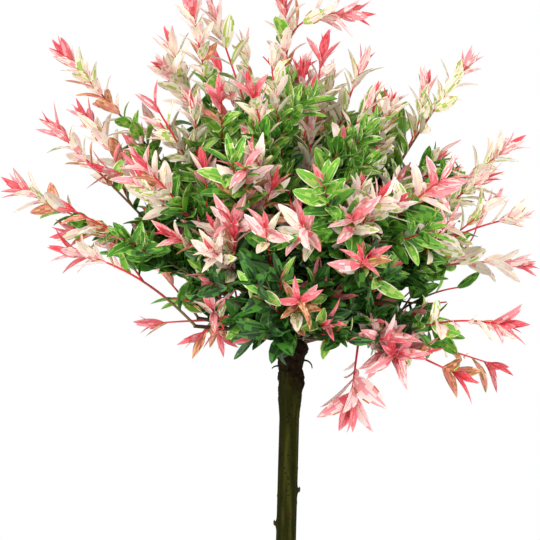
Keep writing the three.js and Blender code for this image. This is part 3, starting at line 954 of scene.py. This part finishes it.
def joined_tubes(tubes):
    """One mesh from tubes, each with its points, radii, sides and a slot for each step."""
    corners, quads, slots, count = [], [], [], 0
    for points, radii, sides, steps in tubes:
        corners.append(tube_corners(points, radii, sides))
        quads.append(grid_quads(len(points), sides, closed=True) + count)
        slots.append(np.repeat(steps, sides))
        count += len(corners[-1])
    return mesh_of_quads(*(np.concatenate(part) for part in (corners, quads, slots)))


# %% [markdown]
# ### Twig colours
#
# The wood of last year is brown. The shoots of this year are red, and the reddest part is nearest
# to the tip. A tube is split into steps, so each step can take its own material slot.

# %% Make the twigs
# From old wood to the newest: name, colour, roughness and specular
TWIG_PAINTS = (
    ("old_twig", (62, 42, 28), 0.75, 0.3), ("olive_twig", (104, 78, 40), 0.65, 0.35),
    ("russet_twig", (150, 48, 38), 0.5, 0.4), ("red_twig", (206, 40, 48), 0.42, 0.5),
)


def twig_tube(twig):
    path = twig.path
    radii = np.linspace(*twig.radii, len(path.points))
    to_tip = path.length - (path.marks[:-1] + path.marks[1:]) / 2
    young = 0.06 + 0.06 * chance(twig.seed, 61)
    if twig.flush == "green":
        young *= 0.4
    slots = np.select([to_tip < young * 0.7, to_tip < young, to_tip < young * 1.6], [3, 2, 1], 0)
    if twig.kind == "stem":
        slots = slots * 0
    return path.points, radii, 6 if twig.kind in ("stem", "leader") else 5, slots


twig_paints = [Paint(name, linear(*tone), *rest).material for name, tone, *rest in TWIG_PAINTS]
finish_piece("twigs", joined_tubes([twig_tube(twig) for twig in twigs]), twig_paints)

# %% [markdown]
# ## Leaves
#
# A willow leaf is a narrow blade, folded a little along its midrib and bent back at the tip. Each
# one here has eight steps along it and seven across, enough for its outline, rib and dapples. The
# old leaves in the shade have fewer. The newest leaves stand close together and point along the
# twig, like a spindle. The next few open out, on some twigs into a star whose leaves turn their
# faces outwards. Old leaves are broad, with a round end.
#
# The leaf's shape depends most on one thing: how far its foot is from the twig's end. Each measure
# is a row of values for the distances in FROM_TIP, and numpy reads between them.

# %% How a leaf grows with its distance from the twig's end
FROM_TIP = (0.000, 0.003, 0.008, 0.015, 0.025, 0.060, 0.120)
LENGTHS = (0.028, 0.032, 0.035, 0.036, 0.036, 0.034, 0.030)
BREADTHS = (0.23, 0.25, 0.27, 0.29, 0.31, 0.37, 0.43)
CLOSED_SPREADS = (4, 11, 17, 22, 26, 34, 46)
STAR_SPREADS = (22, 43, 56, 62, 56, 52, 54)
POINTEDNESS = (1, 1, 1, 0.8, 0.5, 0.1, 0)
PAIR_SPACING = 0.0095
PAIR_TURN = math.radians(90 + 13)
TURNS_OUT = 1.2
# A bloom lacks two of its pairs, and the older leaves on a hanging shoot are short
BARE_PAIRS_OF_BLOOM = (1, 3)
NEW_ON_HANGING, OLD_ON_HANGING = 0.03, 0.55


def at_distance(to_tip, values):
    """A measure at a distance from the twig's end, read between its values."""
    return float(np.interp(to_tip, FROM_TIP, values))


def pair_distances(length):
    """Distances from a twig's end at which it carries a pair of leaves."""
    distances = [0.0] + [d for d in FROM_TIP[1:5] if d < length - 0.006]
    while distances[-1] + PAIR_SPACING < length - 0.008:
        distances.append(distances[-1] + PAIR_SPACING)
    return distances


# %% [markdown]
# ### Colours by place
#
# The colours follow the same distance. Each flush has its own zones, and each zone names the kinds
# of leaf in it. Near the heart of the crown and underneath it the green leaves take the dark old
# kind, as painted shade, and high up more of the green ones take the lighter fresh green.

# %% Which kind of leaf grows where
# Where each zone ends, from the twig's end, and the kinds of leaf in it
ZONES = {
    "plume": (
        (0.002, "coral"), (0.006, "rose coral pink"), (0.014, "pink rose blush pink"),
        (0.028, "blush speckled speckled pale"), (0.048, "speckled pale speckled peachy"),
        (0.062, "pale speckled peachy dapple"), (0.078, "pale dapple green fresh"),
        (0.100, "dapple green green fresh"), (9, "green green old"),
    ),
    "star": (
        (0.002, "rose rose coral"), (0.020, "pink pink pink blush"),
        (0.036, "pink pink blush speckled"), (0.055, "pale peachy green"),
        (0.120, "green green fresh"), (9, "green old old"),
    ),
    "rust": (
        (0.002, "coral"), (0.008, "rose bronze rose"), (0.024, "bronze bronze peachy pink"),
        (0.044, "bronze bronze pale green"), (0.080, "green bronze fresh"), (9, "green old old"),
    ),
    "pink": (
        (0.002, "coral"), (0.006, "rose rose coral"), (0.012, "pink blush rose"),
        (0.024, "blush speckled pink"), (0.040, "speckled peachy pale green"),
        (0.060, "peachy dapple green green"), (0.140, "green green dapple"), (9, "green old old"),
    ),
    "cream": (
        (0.002, "pink coral blush"), (0.008, "blush speckled"), (0.055, "pale speckled pale"),
        (0.080, "dapple green green"), (9, "green old old"),
    ),
    "green": (
        (0.004, "fresh fresh rose"), (0.020, "fresh green dapple green"),
        (0.050, "green green dapple fresh"), (0.100, "green"), (9, "green old old"),
    ),
}
LEAF_GREENS = ("old", "green", "fresh", "dapple")


def shade_reach(spot):
    """Painted shade: how far from the heart green leaves turn dark, farthest low in the middle."""
    if spot.x < -0.07:
        return 0.10
    return 0.25 if spot.z - HEART.z < 0.11 and spot.x < 0.11 else 0.15


def kind_at(twig, to_tip, spot, draw, fresh_draw):
    """The kind of leaf at a distance from the twig's end and at a spot in the crown."""
    zones = (dealt(kinds, draw) for end, kinds in ZONES[twig.flush] if to_tip / twig.reach < end)
    kind = next(zones)
    # Green leaves near the heart are dealt the dark old kind: painted shade
    if kind in ("green", "fresh") and (spot - HEART).length < shade_reach(spot):
        return "old"
    is_high = fresh_draw < (spot.z - HEART.z - 0.12) * 6
    return "fresh" if kind == "green" and is_high else kind


# %% Where the leaves stand
def leaves_of(twig):
    """Rows of foot, way, face, length, width, pointed, droop, bank, twist and kind for a twig."""
    path, rows = twig.path, []
    for pair, to_tip in enumerate(pair_distances(path.length)):
        if twig.kind == "bloom" and pair in BARE_PAIRS_OF_BLOOM:
            continue
        spot, way = path.at(path.length - to_tip), path.heading(path.length - to_tip)
        across, over = side_frame(way)
        closed, star = at_distance(to_tip, CLOSED_SPREADS), at_distance(to_tip, STAR_SPREADS)
        for side in range(2):
            dice = [chance(twig.seed * 3.1 + side, pair * 5.3 + n) for n in range(8)]
            angle = twig.seed * 1.7 + pair * PAIR_TURN + side * math.pi + (dice[0] - 0.5) * 0.5
            aside = across * math.cos(angle) + over * math.sin(angle)
            spread = closed + (star - closed) * twig.open
            spread = math.radians(spread * (0.8 + 0.4 * dice[1]))
            out = way * math.cos(spread) + aside * math.sin(spread)
            face = way * math.sin(spread) - aside * math.cos(spread)
            if twig.flush == "star":
                outwards = Vector((spot.x - HEART.x, spot.y, 0.05)).normalized()
                turned = face + outwards * TURNS_OUT
                face = (turned - out * turned.dot(out)).normalized()
            length = at_distance(to_tip, LENGTHS) * (0.84 + 0.32 * dice[2])
            length *= twig.size * (1 + 0.14 * twig.open)
            if twig.broad > 1 and to_tip > NEW_ON_HANGING:
                length *= OLD_ON_HANGING
            width = length * at_distance(to_tip, BREADTHS) * twig.broad
            width *= 0.85 + 0.3 * dice[3]
            pointed = at_distance(to_tip, POINTEDNESS)
            kind = kind_at(twig, to_tip, spot, dice[4], dice[1])
            if kind in LEAF_GREENS:
                pointed *= 0.3
                width *= 1.25
            droop = 0.04 + 0.26 * dice[5] * min(to_tip / 0.01, 1)
            bank, twist = 1.5 * (dice[6] - 0.5), 1.1 * (dice[7] - 0.5)
            if not any(is_seen_in(spot + out * (length * share), ALL_GAPS) for share in (0.5, 1)):
                shape = (length, width, pointed, droop, bank, twist, KINDS.index(kind))
                rows.append((*spot, *out, *face, *shape))
    return rows


# %% [markdown]
# ### The palette and the patterns
#
# Every face of a leaf takes one plain colour from the palette. A pattern says which ones: first for
# the faces near the leaf's foot, then for those near its tip, for those on its edges and for the
# narrow midrib. The edges are where a dappled leaf is palest and where its brown flecks sit.

# %% The palette
TONES = {
    "shade": (22, 44, 16), "deep": (34, 70, 22), "leaf": (64, 122, 36), "fresh": (106, 168, 50),
    "lime": (166, 196, 92), "tan": (150, 98, 54), "fleck": (178, 118, 66),
    "peach": (226, 172, 130), "salmon": (218, 132, 116), "cream": (237, 226, 198),
    "white": (245, 236, 225), "blush": (243, 210, 205), "pink": (234, 150, 155),
    "rose": (224, 106, 115), "coral": (214, 66, 76),
}
PATTERNS = {
    # The old kind's shade and deep tones are the darker green of old leaves and painted shade
    "old": ("shade shade deep", "shade deep deep leaf", "deep leaf", "leaf"),
    "green": ("leaf leaf deep", "leaf leaf fresh", "leaf fresh lime", "lime fresh"),
    "fresh": ("fresh leaf fresh", "fresh lime fresh leaf", "lime cream fresh", "lime"),
    "dapple": ("leaf fresh fresh", "fresh lime fresh", "cream cream lime", "lime"),
    "pale": ("cream cream lime", "cream white cream lime", "fleck cream white white", "lime peach"),
    "bronze": ("tan tan salmon", "fleck salmon tan peach", "tan fleck cream lime", "salmon"),
    "peachy": ("salmon pink peach", "peach fleck salmon", "fleck peach tan", "salmon"),
    "speckled": (
        "blush pink cream", "cream blush white cream", "fleck blush white white", "blush pink",
    ),
    "blush": ("pink pink blush", "blush blush blush pink", "white blush fleck", "pink"),
    "pink": ("rose rose pink", "pink pink pink blush", "pink blush fleck", "rose"),
    "rose": ("coral rose rose", "rose pink rose", "pink rose salmon", "coral"),
    "coral": ("coral coral rose", "coral rose", "rose coral", "coral"),
}
KINDS = list(PATTERNS)


def pattern_odds():
    """For each kind and each of its four zones, the odds of the tones added up in order."""
    odds = np.zeros((len(KINDS), 4, len(TONES)))
    names = list(TONES)
    for kind, zones in enumerate(PATTERNS.values()):
        for zone, words in enumerate(zones):
            for word in words.split():
                odds[kind, zone, names.index(word)] += 1 / len(words.split())
    return np.cumsum(odds, axis=2)


# %% Shape all the blades at once
# The lines along and across a fine blade and a plain one, as shares of its length and half width
FINE_GRID = (
    np.array([0.0, 0.07, 0.18, 0.33, 0.50, 0.67, 0.82, 0.94, 1.0]),
    np.array([-1.0, -0.80, -0.42, -0.06, 0.06, 0.42, 0.80, 1.0]),
)
PLAIN_GRID = (
    np.array([0.0, 0.10, 0.30, 0.52, 0.74, 0.92, 1.0]),
    np.array([-1.0, -0.55, -0.08, 0.08, 0.55, 1.0]),
)
FOLD = 0.36
SHORTENED = 0.35


def blade_corners(rows, stations, columns):
    """Corner places of every blade, as an array of leaf, station, column and axis."""
    foot, way, face = (rows[:, None, None, k : k + 3] for k in (0, 3, 6))
    length, width, pointed, droop, bank, twist = rows[:, 9:15].T[:, :, None]
    u = stations[None, :]
    round_end = np.sin(math.pi * u**0.95) ** 0.55
    sharp_end = np.sin(math.pi * u**0.82) ** 0.85
    share = np.maximum(round_end + (sharp_end - round_end) * pointed, 0.05)
    share[:, 0] = 0.14
    side = columns * (share * width / 2)[:, :, None]
    rise = FOLD * np.abs(side) - (droop * length * u**2)[:, :, None]
    run = (length * (u - SHORTENED * droop * u**2))[:, :, None] + 0 * side
    turn = (bank + twist * u)[:, :, None]
    turned = side * np.cos(turn) - rise * np.sin(turn)
    lifted = side * np.sin(turn) + rise * np.cos(turn)
    parts = ((run, way), (turned, np.cross(face, way)), (lifted, face))
    return foot + sum(amount[..., None] * vector for amount, vector in parts)


def blade_quads(count, stations, columns):
    """The corner numbers of every blade's quads."""
    first = np.arange(count)[:, None, None] * (len(stations) * len(columns))
    return (grid_quads(len(stations), len(columns)) + first).reshape(-1, 4)


def blade_slots(kinds, stations, columns, dice):
    """A palette slot for each face of each blade."""
    steps, wide = len(stations) - 1, len(columns) - 1
    zone = np.where(stations[:-1, None] < 0.3, 0, 1) + np.zeros((steps, wide), dtype=int)
    zone[:, [0, -1]] = 2
    zone[:, wide // 2] = 3
    odds = pattern_odds()[kinds[:, None, None], zone[None]]
    draw = dice.random((len(kinds), steps, wide, 1)) * 0.999
    return (draw > odds).sum(axis=3).ravel()


# %% Make the leaves, each kind as its own piece
leaf_rows = np.array([row for twig in twigs if twig.kind != "stem" for row in leaves_of(twig)])
dice = np.random.default_rng(8)
palette = [Paint(f"leaf_{name}", linear(*tone), 0.5, 0.35).material for name, tone in TONES.items()]
PIECES = {
    # The old leaves are dark: partly their own darker green, partly painted shade
    "old_and_shaded_leaves": (PLAIN_GRID, ("old",)),
    "green_leaves": (FINE_GRID, ("green", "fresh")),
    "dappled_leaves": (FINE_GRID, ("dapple", "pale")),
    "pink_leaves": (FINE_GRID, ("bronze", "peachy", "speckled", "blush", "pink", "rose", "coral")),
}
MOST_LEAVES = 1700
for name, (grid, kinds) in PIECES.items():
    chosen = leaf_rows[np.isin(leaf_rows[:, -1], [KINDS.index(kind) for kind in kinds])]
    for part, rows in enumerate(np.array_split(chosen, math.ceil(len(chosen) / MOST_LEAVES))):
        mesh = mesh_of_quads(
            blade_corners(rows, *grid).reshape(-1, 3), blade_quads(len(rows), *grid),
            blade_slots(rows[:, -1].astype(int), *grid, dice),
        )
        finish_piece(f"{name}_{part + 1}", mesh, palette)
print(len(leaf_rows), "leaves")

# %% [markdown]
# ## The stem and the boughs
#
# The stem is a grid wrapped round a line. Wrapping keeps the rows and columns even, which is what
# fine relief needs: the grid's first side becomes the turn round the stem and the other the height.
# Its radius repeats the plain solid's, and small ribs, pores, scars and the graft's rough ring are
# added to it.

# %% The stem's line and radius
STEM_RADIUS = 0.0110
GRAFT_RADIUS = 0.0132
FLARE_RADIUS = 0.019
FLARE_HEIGHT = 0.034
# What swells on the stem: height, turn and size
GRAFT = (0.558, 0, 0.0070)
BUDS = ((0.437, 8, 0.0040), (0.400, 176, 0.0040), (0.236, 300, 0.0036), (0.128, 120, 0.0040))
RIBS = 9
PORES = 150
CRACKS = 7


def stem_radius(height):
    flare = (FLARE_RADIUS - STEM_RADIUS) * np.exp(-height / (FLARE_HEIGHT / 3))
    graft = (GRAFT_RADIUS - STEM_RADIUS) * smooth(height, 0.515, 0.545)
    knuckle = (KNUCKLE - GRAFT_RADIUS) * smooth(height, 0.574, 0.594)
    return STEM_RADIUS + flare + graft + knuckle


def stem_axis(height):
    """The middle of the stem at a height above the compost."""
    share = height / STEM_HEIGHT
    return STEM_LEAN * share, np.sin(share * math.pi) * 0.0025


def around(turn, degrees):
    """The way round the stem, in metres, from a direction to each turn."""
    return (np.mod(turn - math.radians(degrees) + math.pi, math.tau) - math.pi) * STEM_RADIUS


# %% The bark's relief
def relief(turn, height):
    """How far the bark stands out at a turn and height, in metres."""
    total = np.zeros_like(turn)
    # Long ribs that climb round the stem
    for number in range(RIBS):
        climb = (chance(number, 1) - 0.5) * 90
        phase = chance(number, 2) * math.tau
        total += 0.00010 * np.sin((2 + number * 2) * turn + climb * height + phase)
    # Small pores
    for number in range(PORES):
        aside = around(turn, 360 * chance(number, 3))
        rise = height - 0.02 - 0.57 * chance(number, 4)
        size = 0.0009 + 0.0008 * chance(number, 5)
        total += 0.00042 * np.exp(-((aside / size) ** 2) - (rise / size / 0.8) ** 2)
    # The swellings under the graft and the buds
    for middle, facing, size in (GRAFT, *BUDS):
        rise = (height - middle) / size / 1.1
        total += size * 0.42 * np.exp(-((around(turn, facing) / size) ** 2) - rise**2)
    # Short cracks across
    for number in range(CRACKS):
        tall = 0.05 + 0.075 * number + 0.03 * chance(number, 7)
        tilted = height - tall - 0.25 * np.abs(around(turn, 360 * chance(number, 8)))
        total += 0.00035 * np.exp(-((tilted / 0.0009) ** 2)) * smooth(np.cos(turn - number), 0, 1)
    # The rough bark of the graft
    rough = smooth(height, 0.530, 0.560)
    x, y = np.cos(turn) * 0.0115, np.sin(turn) * 0.0115
    total += rough * 0.00065 * waves(x + height * 0.4, y + height * 0.9, 420, 41)
    total += rough * 0.00035 * waves(x - height, y + height * 0.3, 1100, 47)
    return total


# %% Model the stem
def stem_mesh():
    form = bmesh.new()
    bmesh.ops.create_grid(form, x_segments=72, y_segments=460, size=0.5)
    mesh = bpy.data.meshes.new("stem")
    form.to_mesh(mesh)
    form.free()
    flat = np.empty(len(mesh.vertices) * 3, dtype=np.float32)
    mesh.vertices.foreach_get("co", flat)
    flat = flat.reshape(-1, 3).astype(float)
    turn = (flat[:, 0] + 0.5) * math.tau
    travel = (flat[:, 1] + 0.5) * (STEM_HEIGHT + KNUCKLE * 1.5)
    height = np.minimum(travel, STEM_HEIGHT)
    over = np.maximum(travel - STEM_HEIGHT, 0) / KNUCKLE
    radius = (stem_radius(height) + relief(turn, height)) * np.cos(over)
    radius *= 1 + 0.14 * np.cos(5 * turn) * np.exp(-height / FLARE_HEIGHT)
    x, y = stem_axis(height)
    z = SOIL_TOP - 0.0012 + height + KNUCKLE * np.sin(over)
    places = np.stack([x + radius * np.cos(turn), y + radius * np.sin(turn), z], 1)
    mesh.vertices.foreach_set("co", places.astype(np.float32).ravel())
    form = bmesh.new()
    form.from_mesh(mesh)
    bmesh.ops.remove_doubles(form, verts=form.verts, dist=2e-5)
    bmesh.ops.holes_fill(form, edges=[edge for edge in form.edges if edge.is_boundary])
    return mesh_from(form)


# %% [markdown]
# ### Bark
#
# Young willow bark is smooth and olive green, with small dark pores and brown patches. Where the
# crown was grafted on, the bark is rough and nearly black, more so on the right. Long streaks come
# from noise that is squeezed along the stem, a Voronoi pattern gives the pores, and the height,
# made uneven by noise, blends in the graft.

# %% The bark's finish
def bark_material():
    paint = Paint("olive_bark", linear(36, 37, 7), 0.8, 0.04)
    place = paint.place()
    streaks = paint.noise(paint.place((1, 1, 0.10)), 150, 5)
    tone = paint.tones(streaks, (0.30, 0.50, 0.72), ((20, 21, 3), (34, 35, 6), (60, 60, 19)))
    patches = paint.ramp(paint.noise(place, 40, 6, 0.7), (0.58, BLACK), (0.70, grey(0.7)))
    tone = paint.mix(patches, tone, linear(46, 33, 16))
    cells = paint.node("ShaderNodeTexVoronoi", Vector=paint.place((1, 1, 1.4)), Scale=170.0)
    pores = paint.ramp(cells.outputs["Distance"], (0.15, WHITE), (0.24, BLACK))
    tone = paint.mix(pores, tone, linear(24, 18, 10))
    axes = paint.node("ShaderNodeSeparateXYZ", place).outputs
    slanted = paint.node("ShaderNodeMath", axes["X"], 1.3, axes["Z"], operation="MULTIPLY_ADD")
    graft = paint.node(
        "ShaderNodeMapRange", Value=slanted.outputs[0],
        From_Min=SOIL_TOP + 0.546, From_Max=SOIL_TOP + 0.600,
    ).outputs["Result"]
    edge = paint.noise(place, 95, 6, 0.75)
    uneven = paint.node("ShaderNodeMath", graft, edge, operation="MULTIPLY").outputs[0]
    union = paint.ramp(uneven, (0.20, BLACK), (0.40, WHITE))
    crust = paint.noise(place, 230, 6, 0.8)
    rough = paint.tones(crust, (0.35, 0.52, 0.70), ((9, 6, 2), (26, 18, 8), (60, 46, 22)))
    grain = paint.noise(place, 520, 5, 0.6)
    return paint.finished(paint.mix(union, tone, rough), grain, 0.0006, 0.8)


# %% Make the stem
finish_piece("stem", stem_mesh(), [bark_material()], ["trunk"])

# %% [markdown]
# ### Buds and dry bits
#
# A few sleeping buds sit on the stem, dark and pointed. Each is a small ball that is pulled to a
# point and pressed to the bark. Below the crown, some dry stalks curl away from the graft.

# %% Make the buds and the dry stalks
def bud_form(height, facing, size):
    form = bmesh.new()
    bmesh.ops.create_icosphere(form, subdivisions=3, radius=0.5)
    for dot in form.verts:
        pull = max(dot.co.z, 0) * 2
        dot.co.x *= 1 - 0.75 * pull**1.5
        dot.co.y *= 1 - 0.75 * pull**1.5
        dot.co.x += 0.25 * pull
    form.transform(Matrix.Diagonal((size * 0.9, size * 1.05, size * 1.7, 1)))
    turn = math.radians(facing)
    x, y = stem_axis(height)
    reach = STEM_RADIUS + size * 0.45
    spot = (x + reach * math.cos(turn), y + reach * math.sin(turn), SOIL_TOP + height)
    form.transform(Matrix.Translation(spot) @ Matrix.Rotation(turn, 4, "Z"))
    return form


def buds():
    form = bmesh.new()
    for bud in BUDS:
        add_part(form, bud_form(*bud))
    return mesh_from(form)


# The dry stalks: turn, height, length and curl
STALKS = (
    (-8, 0.580, 0.017, -1.9), (186, 0.574, 0.010, 1.2),
    (-70, 0.590, 0.012, -1.1), (120, 0.583, 0.014, 1.5),
)
STALK_STEPS = 12


def stalk_tube(facing, height, length, curl):
    out = heading(math.radians(facing), 0)
    x, y = stem_axis(height)
    points = [Vector((x, y, SOIL_TOP + height)) + out * (GRAFT_RADIUS * 0.9)]
    for step in range(STALK_STEPS):
        lean = 0.35 - abs(curl) * step / (STALK_STEPS - 1)
        way = out * math.cos(lean) + UP * math.sin(lean)
        points.append(points[-1] + way * (length / STALK_STEPS))
    radii = np.linspace(0.0013, 0.0006, STALK_STEPS + 1)
    return np.array(points), radii, 7, np.zeros(STALK_STEPS, dtype=int)


bud_brown = mottled("bud_brown", ((28, 18, 10), (46, 32, 19), (76, 56, 34)), 500, 0.55, 0.4, 0.0003)
finish_piece("buds", buds(), [bud_brown])
dry_stalk = mottled("dry_stalk", ((24, 28, 20), (36, 44, 32), (58, 66, 46)), 400, 0.8, 0.25, 0.0003)
finish_piece("dry_stalks", joined_tubes([stalk_tube(*stalk) for stalk in STALKS]), [dry_stalk])

# %% [markdown]
# ### Boughs
#
# The boughs repeat the plain solids' curves, with knots along them. They and the foliage's stems
# carry all the twigs, so the one piece stands for the boughs and for the masses of foliage.

# %% Make the boughs
def bough_tube(place):
    path = Path(*bough_path(place), steps=16)
    radii = np.linspace(0.0042, 0.0031, len(path.points))
    knots = [1 + 0.05 * math.sin(7 * i + place.number) for i in range(len(radii))]
    return path.points, radii * knots, 14, np.zeros(len(path.points) - 1, dtype=int)


bark = mottled("young_bark", ((56, 42, 26), (82, 62, 40), (114, 92, 62)), 420, 0.68, 0.3, 0.0006)
finish_piece(
    "boughs", joined_tubes([bough_tube(place) for place in places]), [bark],
    [f"{part}_{place.name}" for part in ("bough", "foliage") for place in places],
)

# %% [markdown]
# ## Light, floor and camera
#
# The photo is a cut-out on white, in soft daylight from the upper left. A big soft lamp stands in
# front on that side, a weaker one fills the right, and a white world lights the rest. The floor is
# a pale disc, wide enough to fade into that white. The camera uses a long lens from well away,
# level with the crown, and frames the crown and the upper stem as the photo does.

# %% Floor
def floor():
    form = bmesh.new()
    bmesh.ops.create_circle(form, cap_ends=True, segments=96, radius=3.0)
    disc = placed("floor", mesh_from(form, smooth=False))
    disc.data.materials.append(Paint("pale_floor", grey(0.95), 0.9, 0.1).material)


floor()


# %% Lamps and world
def lamp(name, spot, target, size, power):
    light = bpy.data.lights.new(name, "AREA")
    light.shape = "DISK"
    light.size = size
    light.energy = power
    holder = placed(name, light)
    holder.location = spot
    holder.rotation_euler = (Vector(target) - Vector(spot)).to_track_quat("-Z", "Y").to_euler()


lamp("key", (-1.7, -2.8, 2.3), (0, 0, 0.85), 1.3, 76)
lamp("fill", (2.4, -1.6, 1.5), (0, 0, 0.85), 1.6, 24)
world = bpy.context.scene.world or bpy.data.worlds.new("world")
bpy.context.scene.world = world
world.use_nodes = True
world.node_tree.nodes["Background"].inputs["Color"].default_value = WHITE
world.node_tree.nodes["Background"].inputs["Strength"].default_value = 1.0
bpy.context.scene.view_settings.view_transform = "Standard"

# %% Camera
CAMERA_DISTANCE = 2.8
CAMERA_RISE = math.radians(3)
VIEW_WIDTH = 0.594
VIEW_CENTRE = Vector((-0.0075, 0, 0.8633))


def camera():
    lens = bpy.data.cameras.new("camera")
    lens.sensor_width = 36
    lens.lens = 36 * CAMERA_DISTANCE / VIEW_WIDTH
    holder = placed("camera", lens)
    back = Vector((0, -math.cos(CAMERA_RISE), math.sin(CAMERA_RISE)))
    holder.location = VIEW_CENTRE + back * CAMERA_DISTANCE
    holder.rotation_euler = (-back).to_track_quat("-Z", "Y").to_euler()
    bpy.context.scene.camera = holder


camera()
